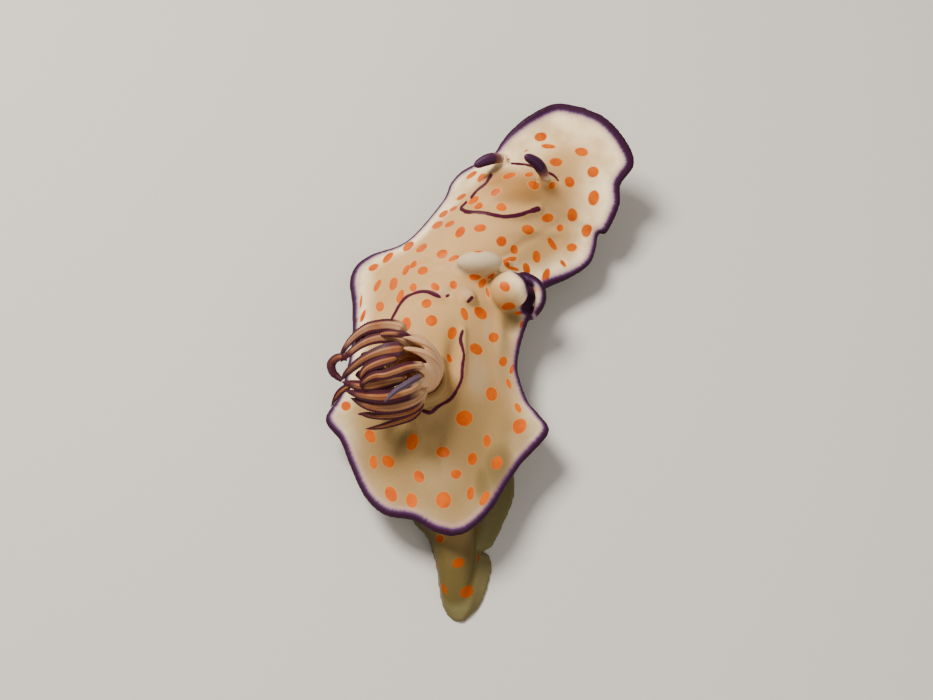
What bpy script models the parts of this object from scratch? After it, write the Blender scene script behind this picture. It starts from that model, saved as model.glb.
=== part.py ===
"""A sea slug of the Red Sea, crawling, at life size: a cream mantle with a purple edge, two rhinophores,
a plume of gills that leans to the left, and a narrow foot that ends in a tail behind the mantle.

Sizes are in millimetres. Body coordinates are across (right is positive), along (from the tip of the
tail to the head) and up (from the ground). The back line bends them into the pose.
"""

import math

import bmesh
import bpy
import numpy as np

MM = 0.001
GAP = 0.3  # between pieces that touch
MODEL_CENTRE = (2.3, 0.17)  # plan position of the middle of the whole box, moved to the origin

# The back line in plan, from the tip of the tail to beyond the front of the hood.
BACK_LINE = (
    (-0.5, -32.0),
    (-1.2, -24.0),
    (-3.0, -16.0),
    (-4.4, -8.0),
    (-4.6, -1.0),
    (-2.6, 6.0),
    (0.8, 12.5),
    (4.2, 18.5),
    (7.6, 24.0),
    (11.3, 29.0),
    (15.0, 33.5),
)

# The ribs of the mantle, from its rear to its hood: where each leaves the back line, how high the
# back is there, and where it meets the right and the left margin (across, along, up).
RIBS = (
    (15.0, 8.8, (-0.6, 7.8, 7.0), (-0.6, 7.8, 7.0)),
    (15.5, 8.9, (1.4, 8.1, 7.0), (-2.4, 8.7, 7.0)),
    (16.5, 9.1, (4.4, 10.0, 7.0), (-4.4, 10.8, 6.6)),
    (18.0, 9.5, (7.4, 13.2, 6.5), (-7.2, 12.6, 6.0)),
    (19.5, 9.9, (10.2, 16.0, 6.5), (-9.0, 15.6, 5.2)),
    (21.0, 10.4, (13.2, 18.6, 6.6), (-9.9, 19.4, 5.0)),
    (23.0, 11.0, (12.6, 21.8, 6.0), (-10.6, 22.4, 5.0)),
    (25.5, 11.6, (11.5, 25.2, 5.4), (-12.1, 24.9, 5.0)),
    (29.0, 12.0, (10.8, 30.0, 5.0), (-10.0, 28.0, 4.6)),
    (33.0, 11.8, (10.5, 34.0, 5.0), (-9.4, 32.0, 4.2)),
    (36.0, 11.3, (10.1, 38.0, 5.0), (-11.0, 36.0, 4.0)),
    (38.5, 11.0, (9.8, 41.8, 5.4), (-13.2, 39.6, 4.0)),
    (41.0, 11.0, (9.2, 45.0, 5.8), (-12.4, 42.0, 4.0)),
    (44.0, 11.0, (9.4, 47.8, 4.8), (-9.8, 44.8, 3.6)),
    (47.0, 11.0, (11.0, 51.0, 4.6), (-8.6, 48.0, 3.6)),
    (49.5, 11.2, (12.2, 54.0, 5.0), (-8.1, 52.6, 4.3)),
    (52.0, 11.5, (11.8, 56.5, 5.0), (-8.4, 54.9, 5.2)),
    (53.5, 11.6, (11.1, 58.8, 5.2), (-7.8, 56.5, 6.2)),
    (55.0, 11.6, (11.9, 59.8, 5.8), (-6.3, 57.6, 7.2)),
    (56.5, 11.4, (11.3, 63.8, 6.8), (-4.8, 59.1, 8.4)),
    (58.0, 11.1, (9.9, 66.2, 7.8), (-4.8, 60.6, 9.8)),
    (59.5, 10.8, (9.8, 69.2, 9.2), (-4.7, 62.6, 11.0)),
    (60.7, 10.4, (7.4, 70.6, 10.4), (-4.0, 65.4, 12.0)),
    (61.5, 10.2, (3.8, 71.1, 11.5), (-2.35, 68.6, 12.2)),
    (62.0, 10.0, (0.7, 70.4, 12.0), (0.7, 70.4, 12.0)),
)
MANTLE_THICK = 1.6  # at the back
RIM_THICK = 1.0
MANTLE_CUTS = (29.5, 49.0)  # along, between the rear, middle and front pieces
HUMP_FALL = 0.7  # how fast the hump of the back falls to the brim
HUMP_POWER = 2.4

# The body under the mantle, at stations along it: half-width, and the height where the brim leaves it.
BODY_ALONG = (8.0, 14.0, 22.0, 30.0, 40.0, 50.0, 57.0, 63.0)
BODY_HALF = (3.4, 4.6, 5.6, 6.4, 6.3, 6.0, 5.6, 4.4)
BRIM_ROOT = (6.4, 6.4, 6.2, 6.0, 5.8, 6.2, 7.4, 9.0)

# The foot, at stations along it: left and right edge of the sole.
FOOT_ALONG = (
    0.0, 0.1, 0.35, 0.9, 1.8, 3.3, 4.9, 6.4, 7.4, 8.3, 8.9, 9.8, 10.7, 11.8, 13.1, 14.9, 17.2, 20.0, 30.0, 40.0, 50.0,
    58.0, 62.0, 64.5, 65.6)
FOOT_LEFT = (
    -0.45, -0.75, -1.05, -1.55, -2.0, -2.3, -2.4, -2.45, -2.5, -2.6, -2.65, -2.7, -2.8, -3.2, -3.9, -4.5, -5.1, -5.8, -7.0,
    -7.2, -6.8, -5.8, -4.6, -3.0, -0.3)
FOOT_RIGHT = (
    0.1, 0.3, 0.6, 1.4, 2.15, 2.9, 3.5, 3.95, 3.9, 4.25, 4.7, 5.5, 6.2, 7.1, 8.0, 8.7, 9.0, 8.8, 7.6, 7.2, 6.8, 6.2, 5.2,
    3.0, 0.3)
FOOT_THICK = 1.7
FOOT_EDGE = 0.7
NOTCH_ALONG = 8.0  # where the tail's right edge is notched between two lobes
NOTCH_DEPTH = 1.25
NOTCH_HALF = 0.26
TAIL_END = 14.0  # along, where the tail meets the foot and the trunk
TAIL_RIDGE_ALONG = (0.0, 2.0, 5.0, 9.0, 14.0)
TAIL_RIDGE_UP = (0.9, 1.9, 2.9, 4.2, 6.0)
TAIL_RIDGE_HALF = (0.6, 1.4, 2.2, 3.0, 4.4)
TAIL_RIDGE_SHIFT = (-0.5, -0.55, -0.35, -0.05, 0.0)  # of its crest, to the right
BODY_CUT = 38.0  # along, between the front and rear lengths of the trunk and the foot
TRUNK_END = 60.0
TRUNK_TOP = 13.0  # above the mantle's underside, which cuts it
TRUNK_HALF = (3.2, 4.3, 5.3, 6.0, 5.9, 5.5, 4.3, 3.0)  # at the stations of the body
BODY_FRONT = 90.0  # along, ahead of everything
BODY_REAR = -20.0

HEAD_CENTRE = (0.6, 61.9, 5.6)
HEAD_HALF = (3.8, 3.4, 3.2)
MOUTH_TILT = math.radians(-32)  # below straight ahead
MOUTH_HALF = 1.7
LIP_STEP = math.radians(11)

TENTACLE_ROOT = (2.9, 63.6, 4.2)  # right side of the head, mirrored for the left
TENTACLE_TIP = (4.0, 65.8, 2.8)
TENTACLE_RADIUS = 0.75

# Rhinophores: root on the mantle (across, along) and lean of the club in plan and height.
RHINOPHORES = {
    "right": ((3.0, 58.2), (-2.4, 0.35, 4.9)),
    "left": ((-2.9, 58.0), (-3.4, -2.4, 2.2)),
}
RHINOPHORE_RADIUS = 0.8
RHINOPHORE_STALK = 0.6
RHINOPHORE_ROOT = 0.25  # how far below the mantle it starts, in leans
RHINOPHORE_BOW = 0.55
LAMELLAE = 9
LAMELLA_NECK = 0.84  # radius between two lamellae, as a share
SHEATH_WALL = 0.55
SHEATH_END = 0.33  # share of the rhinophore's line

# The gill plume: a fleshy cup that rises from its pocket and bends to the left, and leaves from its rim.
PLUME_AXIS = (
    (-7.5, -7.07, 9.5),  # plan and height
    (-7.5, -7.07, 11.6),
    (-7.8, -7.27, 13.8),
    (-9.4, -7.77, 15.7),
    (-12.5, -8.57, 16.4),
    (-17.3, -9.57, 16.6),
)
PLUME_KNOTS = (0.0, 0.13, 0.26, 0.42, 0.62, 1.0)  # shares of the axis at those points
PLUME_NEAR = (0.0, -0.5, 0.866)  # the way from which the leaves' turns are counted, to the rear and up
CUP_END = 0.5  # share of the axis
CUP_RADII = (2.3, 2.3, 2.5, 3.4, 3.75, 3.9)
LEAF_START = 0.34
LEAF_ROOT = 3.2  # from the axis
LEAF_FOLD = math.radians(42)
LEAF_THICK = 0.55
LEAF_STATIONS = (0.0, 0.12, 0.26, 0.4, 0.54, 0.68, 0.8, 0.91, 1.0)
LEAVES = (  # turn and twist in degrees, reach along the axis, belly and tip out from it, hook, half-width
    (-98, 18, 0.96, 5.5, 1.4, 0.4, 1.15),
    (-132, 22, 0.92, 4.9, 1.2, 0.3, 1.1),
    (-34, 26, 0.99, 5.2, 1.2, 0.5, 1.1),
    (-66, 4, 0.66, 4.7, 4.2, 2.2, 0.85),
    (2, 6, 0.97, 4.8, 1.3, 0.6, 1.05),
    (-14, 34, 0.84, 3.6, 2.6, 1.4, 0.9),
    (30, 14, 0.76, 4.6, 4.0, 0.2, 0.85),
    (50, -14, 0.97, 5.3, 2.4, 0.3, 1.1),
    (74, -8, 0.89, 5.9, 4.3, 0.0, 1.1),
    (99, -6, 0.86, 6.2, 5.8, -0.3, 1.05),
    (133, -14, 0.92, 5.2, 2.6, 0.3, 1.1),
    (170, 0, 0.97, 4.8, 1.6, 0.3, 1.1),
    (-164, 6, 1.0, 4.5, 1.2, 0.8, 1.0),
)
LEAF_SECTION = (  # corners of the folded blade: out to the side, fallen away from the keel, outer or inner face
    (-1, 1, 1),
    (-0.2, 0, 1),
    (0.2, 0, 1),
    (1, 1, 1),
    (1, 1, -1),
    (0.15, 0, -1),
    (-0.15, 0, -1),
    (-1, 1, -1),
)
POCKET_WALL = 0.7
POCKET_RISE = 0.4

# The pucker in the middle of the right side: ovals of the mantle, as centre (across, along), height
# above the mantle, and half-sizes to the side, ahead and up.
KNOB = (((6.9, 42.9), 1.2, (2.1, 2.3, 2.4)),)
SWELLING = (
    ((2.9, 43.1), 1.0, (3.0, 1.5, 1.8)),
    ((2.8, 42.6), 0.4, (1.9, 1.0, 1.2)),
)
CURL = (  # the margin curled over beside the knob: across, along, up and radius
    (6.8, 45.1, 9.6, 0.35),
    (7.5, 45.4, 9.4, 0.5),
    (8.4, 45.5, 9.0, 0.62),
    (9.2, 45.5, 8.4, 0.7),
    (10.0, 45.0, 7.6, 0.7),
    (10.3, 44.3, 6.9, 0.62),
    (10.2, 43.4, 6.2, 0.5),
    (10.0, 42.5, 5.6, 0.35),
)

CREAM = (0.80, 0.69, 0.52)
PURPLE = (0.06, 0.02, 0.09)
PALE = (0.72, 0.66, 0.55)
GREY = (0.55, 0.50, 0.38)
BROWN = (0.25, 0.11, 0.07)


def smooth_through(knots, values, at):
    """Cubic curve through the values at the knots, with slopes from the neighbours, read at 'at'."""
    knots = np.asarray(knots, float)
    values = np.asarray(values, float).reshape(len(knots), -1)
    at = np.atleast_1d(np.asarray(at, float))
    step = np.diff(knots)[:, None]
    rise = np.diff(values, axis=0) / step
    slope = np.empty_like(values)
    slope[1:-1] = (rise[:-1] * step[1:] + rise[1:] * step[:-1]) / (step[:-1] + step[1:])
    slope[0] = rise[0]
    slope[-1] = rise[-1]
    i = np.clip(np.searchsorted(knots, at, side="right") - 1, 0, len(knots) - 2)
    h = step[i]
    t = (at[:, None] - knots[i][:, None]) / h
    start = (1 + 2 * t) * (1 - t) ** 2 * values[i] + t * (1 - t) ** 2 * h * slope[i]
    end = t * t * (3 - 2 * t) * values[i + 1] + t * t * (t - 1) * h * slope[i + 1]
    return start + end


def smooth_step(t):
    """0 to 1 with level ends."""
    t = np.clip(t, 0.0, 1.0)
    return t * t * (3 - 2 * t)


def back_table():
    """The back line as distances along it, plan points and directions."""
    line = np.array(BACK_LINE)
    chord = np.concatenate([[0.0], np.cumsum(np.linalg.norm(np.diff(line, axis=0), axis=1))])
    plan = smooth_through(chord, line, np.linspace(0.0, chord[-1], 800))
    along = np.concatenate([[0.0], np.cumsum(np.linalg.norm(np.diff(plan, axis=0), axis=1))])
    heading = np.gradient(plan, along, axis=0)
    heading /= np.linalg.norm(heading, axis=1)[:, None]
    return along, plan, heading


BACK = back_table()


def back_frame(along):
    """Plan point and direction of the back line, carried straight on past its ends."""
    table, plan, heading = BACK
    held = np.clip(along, table[0], table[-1])
    point = np.stack([np.interp(held, table, plan[:, k]) for k in (0, 1)], axis=-1)
    ahead = np.stack([np.interp(held, table, heading[:, k]) for k in (0, 1)], axis=-1)
    return point + ahead * (along - held)[..., None], ahead


def bend(across, along, up):
    """Body coordinates in millimetres to points of the model in metres."""
    across, along, up = np.broadcast_arrays(*(np.asarray(v, float) for v in (across, along, up)))
    point, ahead = back_frame(along)
    x = point[..., 0] + ahead[..., 1] * across - MODEL_CENTRE[0]
    y = point[..., 1] - ahead[..., 0] * across - MODEL_CENTRE[1]
    return np.stack([x, y, up], axis=-1) * MM


def body_half(along):
    """Half-width of the body at a station."""
    return smooth_through(BODY_ALONG, BODY_HALF, along)[:, 0]


def mantle_top(rib, reach):
    """Upper surface of the mantle in body coordinates.

    rib runs from 0 to the last rib; reach runs from -1 at the left margin to 1 at the right one.
    The brim rises or falls from the flank to the margin, and the back is a smooth hump upon it.
    """
    rib, reach = np.broadcast_arrays(np.asarray(rib, float), np.asarray(reach, float))
    table = np.array([(along, up, *right, *left) for along, up, right, left in RIBS])
    read = smooth_through(np.arange(len(RIBS)), table, rib.ravel()).reshape(rib.shape + (8,))
    foot_along, back_up = read[..., 0], read[..., 1]
    margin = np.where(reach[..., None] > 0, read[..., 2:5], read[..., 5:8])
    rho = np.abs(reach)
    across = rho * margin[..., 0]
    along = foot_along + rho * (margin[..., 1] - foot_along)
    root = smooth_through(BODY_ALONG, BRIM_ROOT, foot_along.ravel())[:, 0].reshape(rib.shape)
    half = body_half(foot_along.ravel()).reshape(rib.shape)
    brim = root + (margin[..., 2] - root) * smooth_step(rho)
    away = rho * np.hypot(margin[..., 0], margin[..., 1] - foot_along)
    hump = np.exp(-HUMP_FALL * (away / half) ** HUMP_POWER)
    return across, along, brim + (back_up - brim) * hump


def mantle_height(plan):
    """Height of the mantle's upper surface over a plan point, from the nearest points of a fine grid."""
    ribs, reach = np.meshgrid(np.linspace(0, len(RIBS) - 1, 241), np.linspace(-1, 1, 201), indexing="ij")
    across, along, up = mantle_top(ribs, reach)
    grid = bend(across, along, up) / MM
    away = np.hypot(grid[..., 0] - plan[0], grid[..., 1] - plan[1]).ravel()
    nearest = np.argsort(away)[:6]
    return float(np.average(up.ravel()[nearest], weights=1 / (away[nearest] + 0.01)))


def new_object(name, points, faces, keep_helper=False):
    """One closed mesh object from points and faces, with its doubles merged and its faces turned out."""
    mesh = bpy.data.meshes.new(name)
    mesh.from_pydata([tuple(p) for p in points], [], faces)
    work = bmesh.new()
    work.from_mesh(mesh)
    bmesh.ops.remove_doubles(work, verts=work.verts, dist=1e-6)
    bmesh.ops.dissolve_degenerate(work, edges=work.edges, dist=1e-7)
    bmesh.ops.triangulate(work, faces=work.faces)
    bmesh.ops.recalc_face_normals(work, faces=work.faces)
    work.to_mesh(mesh)
    work.free()
    thing = bpy.data.objects.new(name, mesh)
    folder = HELPERS if keep_helper else PARTS
    folder.objects.link(thing)
    if keep_helper:
        thing.hide_render = True
        thing.display_type = "WIRE"
    return thing


def loft(name, rings, keep_helper=False):
    """Closed body through rings of equal length; each end is closed by a fan round its middle point."""
    rings = np.asarray(rings, float)
    count, sides = rings.shape[:2]
    points = list(rings.reshape(-1, 3)) + [rings[0].mean(axis=0), rings[-1].mean(axis=0)]
    faces = []
    for i in range(count - 1):
        for j in range(sides):
            k = (j + 1) % sides
            faces.append((i * sides + j, i * sides + k, (i + 1) * sides + k, (i + 1) * sides + j))
    last = (count - 1) * sides
    for j in range(sides):
        k = (j + 1) % sides
        faces.append((count * sides, k, j))
        faces.append((count * sides + 1, last + j, last + k))
    return new_object(name, points, faces, keep_helper)


def mantle_body(name, raise_top, drop_bottom, thick, rim_thick, keep_helper=False):
    """The mantle as one closed body; a clearance body is the same with its top raised or bottom dropped."""
    ribs = np.linspace(0, len(RIBS) - 1, 57)
    half = np.array([0.0, 0.15, 0.3, 0.45, 0.6, 0.73, 0.85, 0.95])
    reach = np.concatenate([-half[:0:-1], half])
    across, along, up = mantle_top(ribs[:, None], reach[None, :])
    depth = thick + (rim_thick - thick) * smooth_step((np.abs(reach) - 0.3) / 0.6)[None, :]
    rings_top = bend(across, along, up + raise_top)
    rings_bottom = bend(across, along, up - depth - drop_bottom)
    edge = []
    for side in (-1.0, 1.0):
        across, along, up = mantle_top(ribs, np.full_like(ribs, side))
        edge.append(bend(across, along, up - 0.5 * rim_thick + 0.5 * (raise_top - drop_bottom)))
    rings = np.concatenate([rings_top, edge[1][:, None], rings_bottom[:, ::-1], edge[0][:, None]], axis=1)
    count, sides = rings.shape[:2]
    faces = []
    for i in range(count - 1):
        for j in range(sides):
            k = (j + 1) % sides
            faces.append((i * sides + j, i * sides + k, (i + 1) * sides + k, (i + 1) * sides + j))
    return new_object(name, rings.reshape(-1, 3), faces, keep_helper)


def combine(thing, other, operation, solver="MANIFOLD"):
    """Apply one Boolean with another object and keep only the largest closed surface."""
    step = thing.modifiers.new("combine", "BOOLEAN")
    step.operation = operation
    step.solver = solver
    step.object = other
    view = bpy.context.evaluated_depsgraph_get()
    view.update()
    result = bpy.data.meshes.new_from_object(thing.evaluated_get(view))
    thing.modifiers.clear()
    old = thing.data
    thing.data = result
    bpy.data.meshes.remove(old)
    keep_largest(thing)
    return thing


def keep_largest(thing):
    """Drop every loose scrap, so that the object is one closed surface."""
    work = bmesh.new()
    work.from_mesh(thing.data)
    bmesh.ops.remove_doubles(work, verts=work.verts, dist=2e-6)
    bmesh.ops.dissolve_degenerate(work, edges=work.edges, dist=1e-6)
    bmesh.ops.triangulate(work, faces=work.faces)
    unseen = set(work.faces)
    groups = []
    while unseen:
        start = unseen.pop()
        group = [start]
        queue = [start]
        while queue:
            face = queue.pop()
            for edge in face.edges:
                for near in edge.link_faces:
                    if near in unseen:
                        unseen.remove(near)
                        group.append(near)
                        queue.append(near)
        groups.append(group)
    groups.sort(key=lambda group: sum(face.calc_area() for face in group))
    for group in groups[:-1]:
        bmesh.ops.delete(work, geom=group, context="FACES")
    loose = [vert for vert in work.verts if not vert.link_faces]
    bmesh.ops.delete(work, geom=loose, context="VERTS")
    bmesh.ops.recalc_face_normals(work, faces=work.faces)
    work.to_mesh(thing.data)
    work.free()


def station_box(name, start, end):
    """Helper block that holds all of the body between two stations of the back line."""
    wide = 40.0
    rings = []
    for along in (start, end):
        corners = ((-wide, -5.0), (wide, -5.0), (wide, 40.0), (-wide, 40.0))
        point, ahead = back_frame(np.array(along))
        right = np.array([ahead[1], -ahead[0]])
        ring = [(*(point + right * across - np.array(MODEL_CENTRE)), up) for across, up in corners]
        rings.append(np.array(ring) * MM)
    return loft(name, rings, keep_helper=True)


def remove(thing):
    """Delete an object and its mesh."""
    mesh = thing.data
    bpy.data.objects.remove(thing)
    bpy.data.meshes.remove(mesh)


def duplicate(thing, name):
    """A second object with a copy of the same mesh."""
    other = bpy.data.objects.new(name, thing.data.copy())
    PARTS.objects.link(other)
    return other


def finish(thing, colour, roughness):
    """Give a node its own Principled material and smooth shading."""
    material = bpy.data.materials.new(thing.name)
    material.use_nodes = True
    shader = material.node_tree.nodes["Principled BSDF"]
    shader.inputs["Base Color"].default_value = (*colour, 1.0)
    shader.inputs["Roughness"].default_value = roughness
    shader.inputs["Metallic"].default_value = 0.0
    thing.data.materials.clear()
    thing.data.materials.append(material)
    thing.data.shade_smooth()
    thing.data.set_sharp_from_angle(angle=math.radians(50))


def make_mantle():
    """The mantle, parted into a front, a middle and a rear piece by cuts across the back."""
    whole = mantle_body("mantle", 0.0, 0.0, MANTLE_THICK, RIM_THICK)
    rear_cut, front_cut = MANTLE_CUTS
    pieces = (
        ("mantle_rear", BODY_REAR, rear_cut - GAP / 2),
        ("mantle_middle", rear_cut + GAP / 2, front_cut - GAP / 2),
        ("mantle_front", front_cut + GAP / 2, BODY_FRONT),
    )
    for name, start, end in pieces:
        piece = duplicate(whole, name)
        block = station_box("block", start, end)
        combine(piece, block, "INTERSECT")
        remove(block)
        finish(piece, CREAM, 0.45)
    remove(whole)


def trunk_section(along, half):
    """Ring of a trunk: a full oval above, level below where it stands on the foot."""
    turn = np.linspace(0, 2 * math.pi, 24, endpoint=False)
    low = FOOT_THICK + GAP
    middle = 0.5 * (low + TRUNK_TOP)
    across = half * np.sign(np.cos(turn)) * np.abs(np.cos(turn)) ** 0.8
    up = middle + (middle - low + 0.8) * np.sin(turn)
    return bend(across, along, np.maximum(up, low))


def make_trunk(above):
    """Flanks and back under the mantle, in a front and a rear length."""
    lengths = (
        ("trunk_rear", TAIL_END + GAP, BODY_CUT - GAP / 2),
        ("trunk_front", BODY_CUT + GAP / 2, TRUNK_END),
    )
    for name, start, end in lengths:
        stations = np.linspace(start, end, 13)
        halves = smooth_through(BODY_ALONG, TRUNK_HALF, stations)[:, 0]
        rings = [trunk_section(along, half) for along, half in zip(stations, halves)]
        trunk = loft(name, rings)
        combine(trunk, above, "DIFFERENCE")
        finish(trunk, PALE, 0.5)


def foot_rings(stations, ridge):
    """Rings of the foot: level sole, thin edges, and over it a ridge where the body rises to the tail."""
    share = np.array([-1.0, -0.85, -0.6, -0.3, 0.0, 0.3, 0.6, 0.85, 1.0])
    rings = []
    for along in stations:
        left = smooth_through(FOOT_ALONG, FOOT_LEFT, along)[0, 0]
        right = smooth_through(FOOT_ALONG, FOOT_RIGHT, along)[0, 0]
        right -= NOTCH_DEPTH * math.exp(-((along - NOTCH_ALONG) / NOTCH_HALF) ** 2)
        across = np.where(share < 0, -share * left, share * right)
        narrow = min(1.0, (right - left) / 5.0)
        edge = FOOT_EDGE * narrow
        thick = edge + (FOOT_THICK - edge) * (1 - smooth_step((np.abs(share) - 0.55) / 0.45))
        if ridge:
            height = smooth_through(TAIL_RIDGE_ALONG, TAIL_RIDGE_UP, along)[0, 0]
            half = smooth_through(TAIL_RIDGE_ALONG, TAIL_RIDGE_HALF, along)[0, 0]
            shift = smooth_through(TAIL_RIDGE_ALONG, TAIL_RIDGE_SHIFT, along)[0, 0]
            hump = np.exp(-0.9 * (np.abs(across - shift) / half) ** 2.6)
            low = np.minimum(edge + 0.5 * (1 - np.abs(share)), height)
            thick = low + (height - low) * hump
        sole = across * np.where(np.abs(share) == 1.0, 0.96, 1.0)
        top = bend(across, along, thick)
        bottom = bend(sole, along, 0.0)
        rings.append(np.concatenate([top, bottom[::-1]]))
    return rings


def make_foot(above):
    """The sole and its flange, in a front and a middle length, and the tail behind them."""
    front = np.append(np.linspace(BODY_CUT + GAP / 2, TRUNK_END, 12), [61.5, 63.0, 64.2, 65.1, FOOT_ALONG[-1]])
    tail = [
        0.0, 0.1, 0.35, 0.8, 1.4, 2.2, 3.3, 4.6, 6.0, 7.0, 7.5, 7.75, 8.0, 8.25, 8.5, 9.0, 10.0, 11.5, 13.0, TAIL_END]
    pieces = (
        ("foot_front", front, False),
        ("foot_middle", np.linspace(TAIL_END + GAP, BODY_CUT - GAP / 2, 13), False),
        ("tail", tail, True),
    )
    for name, stations, ridge in pieces:
        piece = loft(name, foot_rings(stations, ridge))
        if ridge:
            combine(piece, above, "DIFFERENCE")
        finish(piece, GREY, 0.4)


def make_head(above):
    """Snout under the hood: an oval whose grid follows the mouth, with two lips and the line between."""
    turns = np.radians(np.concatenate([
        np.linspace(-180, -62, 10), np.linspace(-54, -10, 15), np.linspace(-2, 170, 14)]))
    sides = np.radians(np.linspace(-90, 90, 21))
    side, turn = np.meshgrid(sides, turns, indexing="ij")
    across = HEAD_HALF[0] * np.sin(side)
    window = 1 - smooth_step((np.abs(across) - 0.6 * MOUTH_HALF) / (0.8 * MOUTH_HALF))
    off = turn - MOUTH_TILT
    groove = -0.45 * np.exp(-(off / math.radians(3.5)) ** 2)
    lips = sum(0.38 * np.exp(-((off - way * LIP_STEP) / math.radians(7)) ** 2) for way in (-1, 1))
    bulge = 1 + (groove + lips) * window / HEAD_HALF[1]
    ahead = HEAD_HALF[1] * np.cos(side) * np.cos(turn) * bulge
    rise = HEAD_HALF[2] * np.cos(side) * np.sin(turn) * bulge
    low = FOOT_THICK + GAP
    up = np.maximum(HEAD_CENTRE[2] + rise, low)
    rings = bend(HEAD_CENTRE[0] + across, HEAD_CENTRE[1] + ahead, up)
    head = loft("head", rings)
    block = station_box("block", TRUNK_END + GAP, BODY_FRONT)
    combine(head, block, "INTERSECT")
    remove(block)
    combine(head, above, "DIFFERENCE")
    finish(head, CREAM, 0.45)
    return head


def tube_rings(path, radii, sides):
    """Rings of a tube along a path of points, with a steady sideways direction."""
    path = np.asarray(path, float)
    ahead = np.gradient(path, axis=0)
    ahead /= np.linalg.norm(ahead, axis=1)[:, None]
    seed = np.array([0.0, 0.0, 1.0]) if abs(ahead[0][2]) < 0.9 else np.array([0.0, 1.0, 0.0])
    rings = []
    for point, way, radius in zip(path, ahead, radii):
        side = np.cross(seed, way)
        side /= np.linalg.norm(side)
        lift = np.cross(way, side)
        seed = lift
        turn = np.linspace(0, 2 * math.pi, sides, endpoint=False)
        rings.append(point + radius * (np.outer(np.cos(turn), side) + np.outer(np.sin(turn), lift)))
    return np.array(rings)


def make_tentacles(head):
    """Two short cones beside the mouth, cut clear of the head."""
    for name, sign in (("oral_tentacle_right", 1), ("oral_tentacle_left", -1)):
        share = np.linspace(0, 1, 7)
        root, tip = np.array(TENTACLE_ROOT), np.array(TENTACLE_TIP)
        points = root + share[:, None] * (tip - root)
        path = bend(HEAD_CENTRE[0] + sign * points[:, 0], points[:, 1], points[:, 2]) / MM
        radii = TENTACLE_RADIUS * np.sqrt(np.clip(1 - 0.92 * share ** 1.6, 0.02, 1))
        tentacle = loft(name, tube_rings(path, radii, 12) * MM)
        grown = duplicate(head, "grown_head")
        grow(grown, GAP * MM)
        combine(tentacle, grown, "DIFFERENCE")
        remove(grown)
        finish(tentacle, CREAM, 0.45)


def grow(thing, distance):
    """Move every point out along its normal."""
    mesh = thing.data
    count = len(mesh.vertices)
    points = np.empty(count * 3)
    normals = np.empty(count * 3)
    mesh.vertices.foreach_get("co", points)
    mesh.vertices.foreach_get("normal", normals)
    mesh.vertices.foreach_set("co", points + normals * distance)
    mesh.update()


def rhinophore_path(side):
    """The bowed line of a rhinophore in millimetres, from below the mantle to the tip, and shares of it."""
    (across, along), lean = RHINOPHORES[side]
    plan = bend(across, along, 0.0) / MM
    base = np.array([plan[0], plan[1], mantle_height(plan)])
    share = np.linspace(0, 1, 2 * LAMELLAE + 7)
    path = base + np.outer((1 + RHINOPHORE_ROOT) * share - RHINOPHORE_ROOT, lean)
    path[:, 2] += RHINOPHORE_BOW * np.sin(math.pi * share)
    return path, share


def make_rhinophores(below):
    """A stalk and a ringed club for each side, and the sheath that each rises from."""
    for side in RHINOPHORES:
        path, share = rhinophore_path(side)
        club = smooth_step((share - 0.34) / 0.12) * np.sqrt(np.clip(1 - ((share - 0.5) / 0.51) ** 2, 0, 1))
        neck = (np.arange(len(share)) % 2 == 1) & (share > 0.42) & (share < 0.93)
        radii = RHINOPHORE_STALK + (RHINOPHORE_RADIUS - RHINOPHORE_STALK) * club
        radii = radii * np.where(neck, LAMELLA_NECK, 1.0) * np.sqrt(np.clip(1.02 - share ** 8, 0.02, 1))
        rhinophore = loft("rhinophore_" + side, tube_rings(path, radii, 12) * MM)
        combine(rhinophore, below, "DIFFERENCE")
        finish(rhinophore, PURPLE, 0.4)
        stem = path[[0, round(SHEATH_END * (len(path) - 1))]]
        make_collar("rhinophore_sheath_" + side, stem, RHINOPHORE_STALK + GAP, SHEATH_WALL, below)


def make_collar(name, stem, inner, wall, below):
    """A low ring of mantle round a root, cut clear of the mantle below it."""
    sides = 20
    inside, crest, outside = (
        tube_rings(stem, np.full(2, inner + part * wall), sides) for part in (0.0, 0.5, 1.0))
    ahead = (stem[1] - stem[0]) / np.linalg.norm(stem[1] - stem[0])
    loops = [inside[0], inside[1], crest[1] + 0.3 * wall * ahead, outside[1], outside[0]]
    faces = []
    for i in range(len(loops)):
        n = (i + 1) % len(loops)
        for j in range(sides):
            k = (j + 1) % sides
            faces.append((i * sides + j, i * sides + k, n * sides + k, n * sides + j))
    collar = new_object(name, np.concatenate(loops) * MM, faces)
    combine(collar, below, "DIFFERENCE")
    finish(collar, CREAM, 0.45)


def plume_frame(share):
    """Points of the plume's axis in millimetres, and the two ways across it from which leaves are turned."""
    before, centre, after = (smooth_through(PLUME_KNOTS, PLUME_AXIS, share + way * 0.004) for way in (-1, 0, 1))
    ahead = after - before
    ahead /= np.linalg.norm(ahead, axis=1)[:, None]
    near = np.array(PLUME_NEAR) - (ahead @ np.array(PLUME_NEAR))[:, None] * ahead
    near /= np.linalg.norm(near, axis=1)[:, None]
    return centre, ahead, near, np.cross(near, ahead)


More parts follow.
